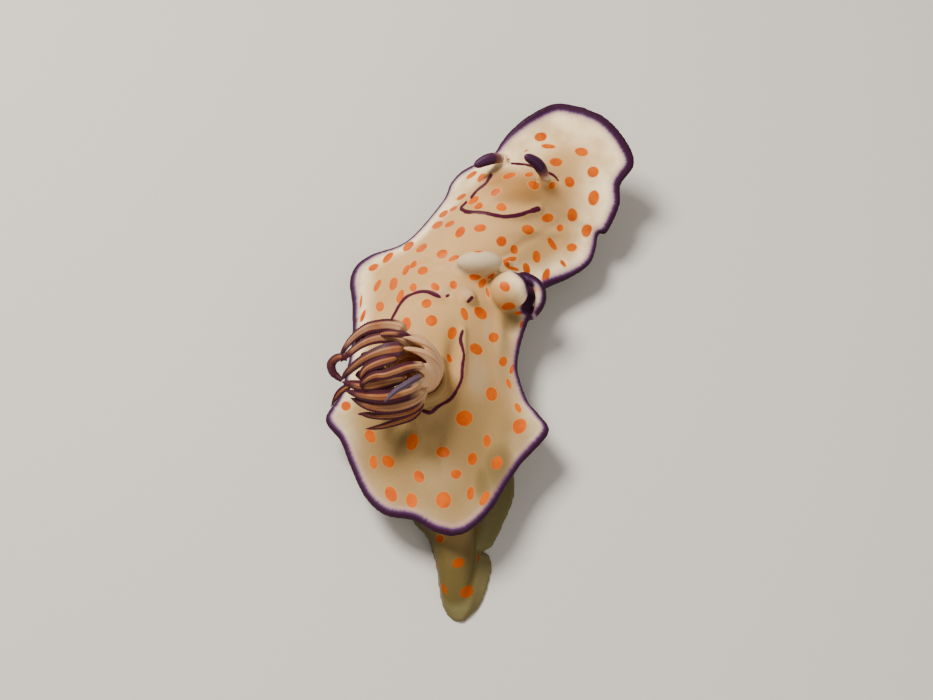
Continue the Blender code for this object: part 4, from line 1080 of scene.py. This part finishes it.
def skin_material():
    """Cream and white, then the tints, the lilac of the brim, the orange spots, the purple band and lines.

    The white reaches further in on the hood as painted light, and painted shade darkens the foot, tail and
    rear.
    """
    material, n = new_finish("skin")
    foot, rear = n.attribute("foot"), n.attribute("rear")
    edge = n.noise(900.0, 2.0)
    spot = n.waver(n.attribute("spot"), edge, 0.16)
    ring = n.waver(n.attribute("ring"), edge, 0.26)
    teeth = n.add(
        "ShaderNodeTexNoise", {"W": n.attribute("margin_place"), "Scale": 1.3, "Detail": 0.6},
        noise_dimensions="1D")
    margin = n.waver(n.attribute("margin"), teeth.outputs["Fac"], 0.12)
    base = n.mix(n.attribute("white"), CREAM, WHITE)
    base = n.mix(n.ramp(n.noise(230.0), 0.35, 0.7, 0.0, 0.6), base, SHADED_CREAM)
    # Painted shade: the rear of the back, the shaded flanks and the skin under the gills turn darker olive.
    base = n.mix(rear, base, PAINTED_SHADE_OLIVE)
    # The foot and tail: their own olive grey, darkened with painted shade.
    base = n.mix(foot, base, n.mix(n.attribute("flange"), FOOT_OLIVE_AND_SHADE, FLANGE_GREY_AND_SHADE))
    base = n.mix(n.attribute("pale"), base, PALE_GREY)
    # Tan of the clear flesh, and painted shade in hollows, on the lower side of the swelling and below the
    # knob.
    base = n.mix(n.attribute("tan"), base, TAN_AND_SHADE)
    base = n.mix(n.ramp(n.attribute("mouth"), 0.15, 0.5, 0.95, 0.0), base, MOUTH_BROWN)
    # The lilac fades out under the rear's painted shade.
    lilac = n.math("MULTIPLY", n.ramp(margin, 0.8, 1.9, 0.8, 0.0), n.math("SUBTRACT", 1.0, rear))
    base = n.mix(lilac, base, LILAC)
    # No halo round the spots where the painted shade of the foot or of the rear lies.
    bright = n.math("SUBTRACT", 1.0, n.math("MAXIMUM", foot, rear))
    base = n.mix(n.math("MULTIPLY", n.ramp(spot, 0.0, 0.22, 0.5, 0.0), bright), base, HALO)
    orange = n.mix(n.ramp(n.noise(700.0), 0.35, 0.7), ORANGE, DEEP_ORANGE)
    # The spots on the foot and tail are darkened with painted shade.
    orange = n.mix(n.math("MULTIPLY", foot, 0.8), orange, SHADED_ORANGE)
    base = n.mix(n.ramp(spot, -0.07, 0.05, 1.0, 0.0), base, orange)
    base = n.mix(n.ramp(margin, 0.74, 1.25, 1.0, 0.0), base, VIOLET)
    base = n.mix(n.ramp(margin, 0.55, 0.95, 1.0, 0.0), base, PURPLE)
    base = n.mix(n.ramp(ring, -0.06, 0.08, 1.0, 0.0), base, RING)
    soft_finish(n, base, scale=2600.0, gloss=0.30, raised=0.15, depth=0.0003, weight=0.04, shine=0.12)
    return material


skin.data.materials.clear()
skin.data.materials.append(skin_material())


# The rhinophores, the two horns the animal smells with: a short stalk and a curved club of fine overlapping
# plates, all soft skin, dark purple and clearer toward the root. Each grows along the line of its sheath.
CLUB_RADIUS = 0.74
STALK_RADIUS = 0.62
HORN_BOWS = {"right": (0.5, 0.2, 0.2), "left": (0.0, 0.2, 0.1)}
HORN_SIDES = 48
CLUB_FROM = 0.38
CLUB_TO = 0.95
CLUB_PLATES = 19
PLATE_DEPTH = 0.07
TIP_FROM = 0.86
TIP_OVER = 0.141
HORN_PURPLE = (0.037, 0.008, 0.033)
HORN_TAN = (0.213, 0.098, 0.066)
HORN_CREAM = (0.541, 0.377, 0.246)


def horn_grid(side):
    """Rings along a rhinophore: the radius swells from the stalk to the club, less a saw of plates there.

    It then narrows by a smooth step and closes at the tip as a circle does.
    """
    line, share = rhinophore_line(side, CLUB_PLATES * 8 + 60)
    line = line + np.sin(math.pi * share)[:, None] * np.array(HORN_BOWS[side])
    radii = STALK_RADIUS + (CLUB_RADIUS - STALK_RADIUS) * smooth_step((share - 0.3) / 0.2)
    plates = (share - CLUB_FROM) / (CLUB_TO - CLUB_FROM) * CLUB_PLATES
    in_club = smooth_step((share - CLUB_FROM) / 0.03) * smooth_step((0.97 - share) / 0.05)
    radii = radii - PLATE_DEPTH * in_club * (plates % 1.0) ** 2
    blunt = np.sqrt(np.clip(1 - ((share - TIP_FROM) / TIP_OVER).clip(0, 1) ** 2, 0.002, 1))
    radii = radii * (1 - 0.28 * smooth_step((share - 0.6) / 0.4)) * blunt
    radii = radii * (0.3 + 0.7 * smooth_step((share - 0.1) / 0.12))
    return tube_grid(line, radii, HORN_SIDES), share


def row_values(values, grid):
    """One number for each row of a grid, given to each of its points and then to the two caps."""
    return np.concatenate([np.repeat(values, grid.shape[1]), values[[0, -1]]])


def horn_material():
    """Purple from the tip down, clearing to tan and then to cream at the root."""
    material, n = new_finish("horn")
    height = n.waver(n.attribute("share"), n.noise(1200.0), 0.2)
    base = n.mix(n.ramp(height, 0.22, 0.36), HORN_CREAM, HORN_TAN)
    base = n.mix(n.ramp(height, 0.28, 0.56), base, HORN_PURPLE)
    soft_finish(n, base, scale=2600.0, gloss=0.28, raised=0.1, depth=0.0004, weight=0.04, shine=0.2)
    return material


horn_finish = horn_material()
for side in RHINOPHORES:
    grid, share = horn_grid(side)
    horn = grid_mesh("horn_" + side, grid)
    keep_values(horn, "share", row_values(share, grid))
    horn.data.materials.append(horn_finish)
    horn.data.shade_smooth()
    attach(horn, "root")
    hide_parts("rhinophore_" + side)


# The gills stand on a short fleshy stalk that bends to the left and widens into a cup. It is cream, half
# clear flesh that grows out of the pocket, and its wall is drawn out into the keels of the leaves.
CUP_RADII = (2.3, 2.3, 2.4, 3.0, 3.5, 3.75)
AXIS_STEP = 0.004
CUP_END = 0.43
CUP_WALL = 0.55
CUP_FOLDS = 13
CUP_FOLD_DEPTH = 0.16
CUP_SCALLOP = 0.05
CUP_LIP = 0.1
CUP_START = 0.04
CUP_INSIDE = 0.3  # how far up the cup its inside begins
CUP_ROWS = (60, 36)  # up the outside and down the inside
CUP_SIDES = 156
CUP_STREAKS = (9.0, 1.6)  # round the cup and along it
CUP_CREAM = (0.476, 0.279, 0.148)
CUP_BROWN = (0.295, 0.074, 0.016)
# Painted shade deep inside the cup.
CUP_THROAT_SHADE = (0.295, 0.098, 0.025)


def plume_frame(share):
    """Points of the plume's axis, its direction, and across it the ways to the camera and to the floor."""
    before, centre, after = (
        smooth_through(PLUME_KNOTS, PLUME_AXIS, share + step) for step in (-AXIS_STEP, 0.0, AXIS_STEP))
    ahead = unit(after - before)
    near = unit(camera_back - (ahead @ camera_back)[:, None] * ahead)
    return centre, ahead, near, np.cross(near, ahead)


def cup_grid():
    """Rings up the outside of the cup and down its inside; folds run along it and its rim is scalloped.

    With them come each ring's share of the way to the rim, and the places that the streaks are read at.
    """
    turn = np.linspace(0, 2 * math.pi, CUP_SIDES, endpoint=False)
    fold = np.cos(CUP_FOLDS * turn)
    rise = np.concatenate([np.linspace(CUP_START, 1, CUP_ROWS[0]), np.linspace(1, CUP_INSIDE, CUP_ROWS[1])])
    rows = []
    for row, share in enumerate(rise):
        at = share * (CUP_END + CUP_SCALLOP * fold)
        centre, _, near, down = plume_frame(at)
        radius = smooth_through(np.linspace(0, CUP_END, len(CUP_RADII)), CUP_RADII, at)[:, 0]
        radius = radius + CUP_FOLD_DEPTH * fold * smooth_step((share - 0.3) / 0.5)
        thick = 0.0 if row < CUP_ROWS[0] else CUP_WALL * smooth_step((1 - share) / 0.1 + 0.15)
        radius = radius - CUP_LIP * smooth_step((share - 0.96) / 0.04) - thick
        rows.append(centre + radius[:, None] * (np.cos(turn)[:, None] * near + np.sin(turn)[:, None] * down))
    round_cup, along_cup = CUP_STREAKS
    flow = (round_cup * np.cos(turn), round_cup * np.sin(turn), along_cup * rise[:, None])
    return np.array(rows), rise, np.stack(np.broadcast_arrays(*flow), axis=-1)


def cup_material():
    """Cream, with thin orange-brown streaks from a noise drawn out along its length, and a throat darkened
    with painted shade.
    """
    material, n = new_finish("cup")
    streaks = n.add(
        "ShaderNodeTexNoise", {"Vector": n.attribute("flow", "Vector"), "Scale": 1.0, "Detail": 2.0})
    base = n.mix(n.ramp(streaks.outputs["Fac"], 0.56, 0.66, 0.0, 0.7), CUP_CREAM, CUP_BROWN)
    base = n.mix(n.ramp(n.attribute("inside"), 0.2, 0.8), base, CUP_THROAT_SHADE)
    soft_finish(n, base, scale=1800.0, gloss=0.26, raised=0.15, depth=0.0009, weight=0.15, shine=0.15)
    return material


grid, rise, flow = cup_grid()
cup = grid_mesh("gill_cup", grid)
inside = 1 - (rise - CUP_INSIDE) / (1 - CUP_INSIDE)
inside[:CUP_ROWS[0]] = 0.0
keep_values(cup, "inside", row_values(inside, grid))
flow = np.concatenate([flow.reshape(-1, 3), np.zeros((2, 3))]).astype(np.float32)
cup.data.attributes.new("flow", "FLOAT_VECTOR", "POINT").data.foreach_set("vector", flow.ravel())
cup.data.materials.append(cup_material())
cup.data.shade_smooth()
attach(cup, "root")


# The gill leaves: long soft blades that grow from the rim of the cup, bow out and close to the left like a
# tulip. Each is folded along a keel, with purple edges, and its two thin brown webs are ribbed across.
PLUME_DEPTH = 18.3  # of the plume's middle from the origin, towards the camera
# Each leaf that the photograph shows: where its colours start, its tone from dark to pale and its share of
# blue-grey painted sheen, then along it the pixel, the depth before the plume's middle and the half-width.
LEAVES = (
    (0.05, 0.9, 0, ((410, 334, 0.4, 0.45), (401, 327, 0.5, 0.7), (390, 324.5, 0.6, 0.78),
     (379, 325, 0.8, 0.76), (367.5, 327.5, 1.0, 0.68), (359.5, 332, 1.0, 0.56), (352.5, 338, 0.9, 0.46),
     (346.5, 345, 0.8, 0.34), (342, 352.5, 0.6, 0.24), (339.5, 357.5, 0.5, 0.06))),
    (0.1, 0.7, 0, ((412, 346, 1.6, 0.4), (402, 341, 2.0, 0.5), (391, 338.5, 2.4, 0.56),
     (381, 337.5, 2.6, 0.62), (369.5, 340, 2.6, 0.55), (359.5, 345, 2.4, 0.46), (351.5, 351, 2.0, 0.4),
     (344.5, 357, 1.6, 0.3), (340.5, 362, 1.3, 0.05))),
    (0.62, 0.2, 0, ((377, 335, 2.2, 0.12), (383.5, 333.5, 2.9, 0.3), (390.5, 333, 3.2, 0.4),
     (398, 333.5, 3.3, 0.42), (405.5, 334, 3.2, 0.28), (411, 335.5, 3.0, 0.05))),
    (0.35, 0.25, 0.1, ((409.5, 347, 3.2, 0.06), (404.5, 348, 3.6, 0.6), (395, 349, 3.9, 0.84),
     (383.5, 351, 4.0, 0.8), (372, 355, 3.8, 0.66), (361.5, 360.5, 3.3, 0.55), (352.5, 367.5, 2.6, 0.46),
     (345.5, 374.5, 2.0, 0.34), (340.5, 381, 1.5, 0.06))),
    (0.25, 0.35, 0, ((402, 357, 3.8, 0.3), (390.5, 359.5, 4.4, 0.55), (381, 362, 4.6, 0.6),
     (372, 365.5, 4.5, 0.56), (365, 370, 4.2, 0.46), (361.5, 377, 3.7, 0.32), (363.5, 382.5, 3.2, 0.05))),
    (0.0, 0.3, 0, ((430.5, 367.5, 2.4, 0.3), (419, 366, 3.5, 0.5), (407.5, 367.5, 4.3, 0.6),
     (396, 371.5, 4.7, 0.6), (384.5, 375, 4.8, 0.56), (374.5, 376, 4.5, 0.5), (366.5, 380, 4.0, 0.4),
     (362, 385.5, 3.5, 0.3), (363.5, 390.5, 3.1, 0.05))),
    (0.12, 0.1, 1.0, ((426, 374, 2.8, 0.25), (413.5, 380, 4.3, 0.36), (405.5, 385, 4.9, 0.36),
     (397, 390, 5.2, 0.32), (390.5, 395.5, 5.3, 0.24), (384.5, 402, 5.3, 0.04))),
    (0.2, 0.45, 0, ((410, 378, 3.0, 0.4), (397, 380, 3.7, 0.6), (383.5, 383, 3.7, 0.76),
     (369.5, 386, 3.3, 0.74), (358, 386, 2.7, 0.6), (349, 384, 2.0, 0.42), (342, 382, 1.5, 0.08))),
    (0.05, 0.35, 0, ((427, 381, 2.4, 0.35), (420, 385, 3.0, 0.45), (411, 390.5, 3.6, 0.66),
     (399.5, 394, 3.8, 0.8), (386, 397, 3.7, 0.8), (372, 397, 3.2, 0.7), (360.5, 395.5, 2.5, 0.54),
     (351.5, 393, 1.9, 0.36), (344.5, 390.5, 1.4, 0.05))),
    (0.0, 0.6, 0, ((430, 386, 1.4, 0.4), (424.5, 394, 1.8, 0.5), (416.5, 401, 2.4, 0.66),
     (404, 406, 2.7, 0.78), (390.5, 408.5, 2.7, 0.76), (376.5, 408, 2.4, 0.66), (364, 405, 1.9, 0.5),
     (356, 401, 1.4, 0.32), (350.5, 398, 1.1, 0.05))),
    (0.15, 0.15, 0, ((428, 397, 0.6, 0.4), (413.5, 410.5, 1.2, 0.5), (402, 414.5, 1.5, 0.52),
     (388, 416.5, 1.5, 0.46), (374.5, 416.5, 1.2, 0.4), (364.5, 415, 1.0, 0.28), (359, 413.5, 0.8, 0.05))),
    (0.2, 0.0, 0, ((424, 405, -0.6, 0.35), (411, 417.5, 0.0, 0.46), (400.5, 421.5, 0.2, 0.45),
     (389, 425, 0.2, 0.38), (379, 427.5, 0.2, 0.3), (372, 428.5, 0.1, 0.2), (365.5, 429, 0.0, 0.04))),
    (0.7, 0.1, 0, ((347, 357.5, 1.5, 0.3), (339.5, 356.5, 1.5, 0.44), (333.5, 359.5, 1.2, 0.5),
     (331, 364, 0.9, 0.52), (332, 370, 0.8, 0.48), (336, 376, 0.8, 0.4), (341.5, 380.5, 1.0, 0.25))),
    (0.6, 0.1, 0, ((352, 385.5, 1.8, 0.3), (344.5, 389, 1.4, 0.4), (338.5, 394, 0.9, 0.36),
     (334.5, 400, 0.4, 0.24), (331, 407, -0.2, 0.04))),
)
# Each leaf on the far side: turn round the axis from the camera's side, twist, reach along the axis, distance
# from it at the belly and at the tip, hook of the tip, and width.
FAR_LEAVES = (
    (-104, 18, 0.80, 5.0, 2.6, 0.4, 1.15),
    (-132, 22, 0.80, 4.9, 2.4, 0.3, 1.1),
    (-164, 6, 0.82, 4.5, 2.4, 0.8, 1.0),
    (170, 0, 0.80, 4.8, 2.6, 0.3, 1.1),
    (133, -14, 0.80, 5.2, 3.0, 0.3, 1.1),
    (104, -8, 0.80, 5.6, 4.6, -0.3, 1.05),
)
FAR_COLOURS = (0.1, 0.2, 0.0)
FAR_KNOTS = (0, 0.25, 0.52, 0.8, 1)
LEAF_START = 0.34
LEAF_ROOT = 3.2
LEAF_LEAST = 0.03
LEAF_OUTWARD = 0.45
LEAF_FOLD = math.radians(14)
LEAF_RIBS = 36
LEAF_ROWS = 6 * LEAF_RIBS + 1
LEAF_DIVE = 0.8
LEAF_DIVE_SHARE = 0.14
LEAF_COLUMNS = 17
LEAF_THICK = (0.26, 0.12)  # at the keel and at the edges
KEEL_HEIGHT = 0.07
KEEL_HALF = 0.2
RIB_HEIGHT = 0.022
WEB_BROWN = (0.24, 0.094, 0.028)
WEB_PALE = (0.271, 0.143, 0.074)
WEB_RED = (0.215, 0.055, 0.016)
LEAF_CREAM = (0.377, 0.221, 0.115)
LEAF_PURPLE = (0.043, 0.009, 0.016)
# Painted sheen: a blue-grey reflection on the dark parts, and on one leaf over its whole face.
LEAF_BLUE_SHEEN = (0.07, 0.045, 0.07)


def near_leaf(points):
    """Keel, outward way and half-width along a leaf that the photograph shows, on a curve through its points.

    Each point is where its pixel's ray comes so deep before the plume's middle. The outward way is the way to
    the camera, plus a part of the way from the axis.
    """
    table = []
    for x, y, before, half in points:
        ray = photo_ray(x, y)
        deep = PLUME_DEPTH + before - camera_place @ camera_back
        table.append((*(camera_place + ray * deep / (ray @ camera_back)), half))
    read = even_curve(table, LEAF_ROWS)
    keel = read[:, :3]
    axis = plume_frame(np.linspace(0.2, 1.0, 200))[0]
    nearest = ((keel[:, None] - axis[None]) ** 2).sum(axis=2).argmin(axis=1)
    way = LEAF_OUTWARD * unit(keel - axis[nearest]) + camera_back
    return keel, way, np.maximum(read[:, 3], LEAF_LEAST)


def far_leaf(turn, twist, reach, belly, tip, hook, width):
    """The same for a leaf on the far side, whose distance from the axis swells to the belly and shrinks."""
    t = np.linspace(0, 1, LEAF_ROWS)
    curl = smooth_step((t - 0.72) / 0.28)
    centre, ahead, near, down = plume_frame(LEAF_START + (reach - LEAF_START) * t)
    angle = np.radians(turn + twist * t ** 2)[:, None]
    shoulder = 0.5 * (LEAF_ROOT + belly) + 0.35
    bows = (LEAF_ROOT, shoulder, belly, 0.35 * tip + 0.62 * belly, tip)
    way = np.cos(angle) * near + np.sin(angle) * down
    keel = centre + smooth_through(FAR_KNOTS, bows, t) * way
    keel = keel - hook * curl[:, None] * (0.8 * ahead + 0.6 * way)
    end = np.sqrt(np.clip(1 - ((t - 0.45) / 0.551).clip(0, 1) ** 3, 0.0004, 1))
    return keel, way, 0.8 * width * (0.30 + 0.70 * smooth_step(t / 0.4)) * end


def leaf_grid(keel, way, half):
    """Sections along a leaf, each out along the outer face and back along the inner one.

    The webs fall back from the keel by a power of the distance to it, small waves run across them, and the
    root dives into the cup.
    """
    t = np.linspace(0, 1, len(keel))[:, None]
    run = unit(np.gradient(keel, axis=0))
    way = unit(way - (way * run).sum(axis=1)[:, None] * run)
    side = np.cross(run, way)
    root = 1 - smooth_step(t / LEAF_DIVE_SHARE)
    keel = keel - LEAF_DIVE * root * way
    half = half * (1 - 0.5 * root[:, 0])
    share = width_shares(LEAF_COLUMNS)
    ripple = np.cos(2 * math.pi * LEAF_RIBS * t)
    web = smooth_step((np.abs(share) - 0.3) / 0.4) * smooth_step((t - 0.15) / 0.3)
    half = half[:, None] * (1 + 0.05 * ripple * smooth_step((t - 0.3) / 0.2))
    back = half * math.tan(LEAF_FOLD) * np.abs(share) ** 1.4
    rib = RIB_HEIGHT * ripple * web
    slim = np.minimum(1.0, half / 0.4)
    keel_rise = KEEL_HEIGHT * np.exp(-(share / KEEL_HALF) ** 2) * slim
    thick = (LEAF_THICK[0] + (LEAF_THICK[1] - LEAF_THICK[0]) * np.abs(share)) * slim
    flat = keel[:, None] + (share * half)[..., None] * side[:, None]
    outer = flat + (keel_rise + rib - back)[..., None] * way[:, None]
    inner = flat + (0.5 * rib - back - thick)[..., None] * way[:, None]
    across = np.concatenate([share, share[:, ::-1]], axis=1) + 0 * t
    return np.concatenate([outer, inner[:, ::-1]], axis=1), t[:, 0], across


def leaf_material():
    """Cream roots, brown webs with faint lines across, dark purple keels, edges and tips, and a painted
    blue-grey sheen.
    """
    material, n = new_finish("leaf")
    tone, blue_sheen = n.attribute("tone"), n.attribute("blue_sheen")
    across = n.math("ABSOLUTE", n.attribute("across"))
    patch = n.noise(450.0, 2.0)
    shift = n.waver(n.attribute("along"), patch, 0.24)
    web = n.mix(tone, WEB_BROWN, WEB_PALE)
    web = n.mix(n.ramp(patch, 0.45, 0.62, 0.0, 0.6), web, WEB_RED)
    base = n.mix(n.ramp(shift, 0.10, 0.42), LEAF_CREAM, web)
    waves = n.math("SINE", n.math("MULTIPLY", n.attribute("rib"), 2 * math.pi * LEAF_RIBS))
    lines = n.math("MULTIPLY", n.ramp(waves, -1.0, 0.0, 0.35, 0.0), n.ramp(shift, 0.25, 0.45))
    base = n.mix(lines, base, WEB_RED)
    rim = n.waver(across, tone, -0.2)
    edge = n.math("MULTIPLY", n.ramp(rim, 0.34, 0.58), n.ramp(shift, 0.12, 0.28))
    keel = n.math("MULTIPLY", n.ramp(across, 0.04, 0.14, 0.5, 0.0), n.ramp(shift, 0.2, 0.5))
    blue_sheen_face = n.math("MULTIPLY", blue_sheen, n.ramp(shift, 0.1, 0.3))
    tip = n.math("MAXIMUM", n.ramp(shift, 0.74, 0.92), blue_sheen_face)
    dark = n.math("MAXIMUM", n.math("MAXIMUM", edge, keel), tip)
    base = n.mix(dark, base, n.mix(blue_sheen, LEAF_PURPLE, LEAF_BLUE_SHEEN))
    root_line = n.math("MULTIPLY", n.ramp(across, 0.05, 0.16, 0.6, 0.0), n.ramp(shift, 0.25, 0.4, 1.0, 0.0))
    base = n.mix(root_line, base, CUP_BROWN)
    soft_finish(n, base, scale=1800.0, gloss=0.34, raised=0.1, depth=0.0004, weight=0.04, shine=0.15)
    return material


leaf_finish = leaf_material()
leaves = [(*colours, near_leaf(points)) for *colours, points in LEAVES]
leaves += [(*FAR_COLOURS, far_leaf(*values)) for values in FAR_LEAVES]
for number, (start, tone, blue_sheen, line) in enumerate(leaves):
    grid, share, across = leaf_grid(*line)
    leaf = grid_mesh("gill_leaf_%02d" % number, grid)
    share = row_values(share, grid)
    keep_values(leaf, "rib", share)
    keep_values(leaf, "along", start + (1 - start) * share)
    keep_values(leaf, "across", np.append(across, [0.0, 0.0]))
    keep_values(leaf, "tone", tone)
    keep_values(leaf, "blue_sheen", blue_sheen)
    leaf.data.materials.append(leaf_finish)
    leaf.data.shade_smooth()
    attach(leaf, "root")
    if number == 0:
        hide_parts("gill_plume")


# The floor and the light are plain, and aren't part of the animal: a pale sheet under a large soft lamp from
# above and ahead, with a weaker one from behind the camera.
FLOOR_HALF = 0.6
FLOOR_COLOUR = (0.443, 0.426, 0.394, 1.0)
LAMPS = (("key_lamp", (-0.14, 0.10, 0.30), 0.12, 2.7), ("fill_lamp", (0.16, -0.30, 0.25), 0.30, 0.9))
LAMP_COLOUR = (1.0, 0.95, 0.86)
SKY_COLOUR = (1.0, 0.98, 0.95, 1.0)
SKY_STRENGTH = 0.43
corners = [(x * FLOOR_HALF, y * FLOOR_HALF, 0) for x, y in ((-1, -1), (1, -1), (1, 1), (-1, 1))]
floor_mesh = bpy.data.meshes.new("floor")
floor_mesh.from_pydata(corners, [], [(0, 1, 2, 3)])
floor = bpy.data.objects.new("floor", floor_mesh)
bpy.context.scene.collection.objects.link(floor)
floor_finish, n = new_finish("floor")
floor_shader = n.tree.nodes["Principled BSDF"]
floor_shader.inputs["Base Color"].default_value = FLOOR_COLOUR
floor_shader.inputs["Roughness"].default_value = 0.9
floor_mesh.materials.append(floor_finish)

for name, place, size, power in LAMPS:
    lamp_data = bpy.data.lights.new(name, "AREA")
    lamp_data.size = size
    lamp_data.energy = power
    lamp_data.color = LAMP_COLOUR
    lamp = bpy.data.objects.new(name, lamp_data)
    lamp.location = place
    lamp.rotation_euler = (-Vector(place)).to_track_quat("-Z", "Y").to_euler()
    bpy.context.scene.collection.objects.link(lamp)
world = bpy.data.worlds.new("world")
world.use_nodes = True
background = world.node_tree.nodes["Background"]
background.inputs["Color"].default_value = SKY_COLOUR
background.inputs["Strength"].default_value = SKY_STRENGTH
bpy.context.scene.world = world
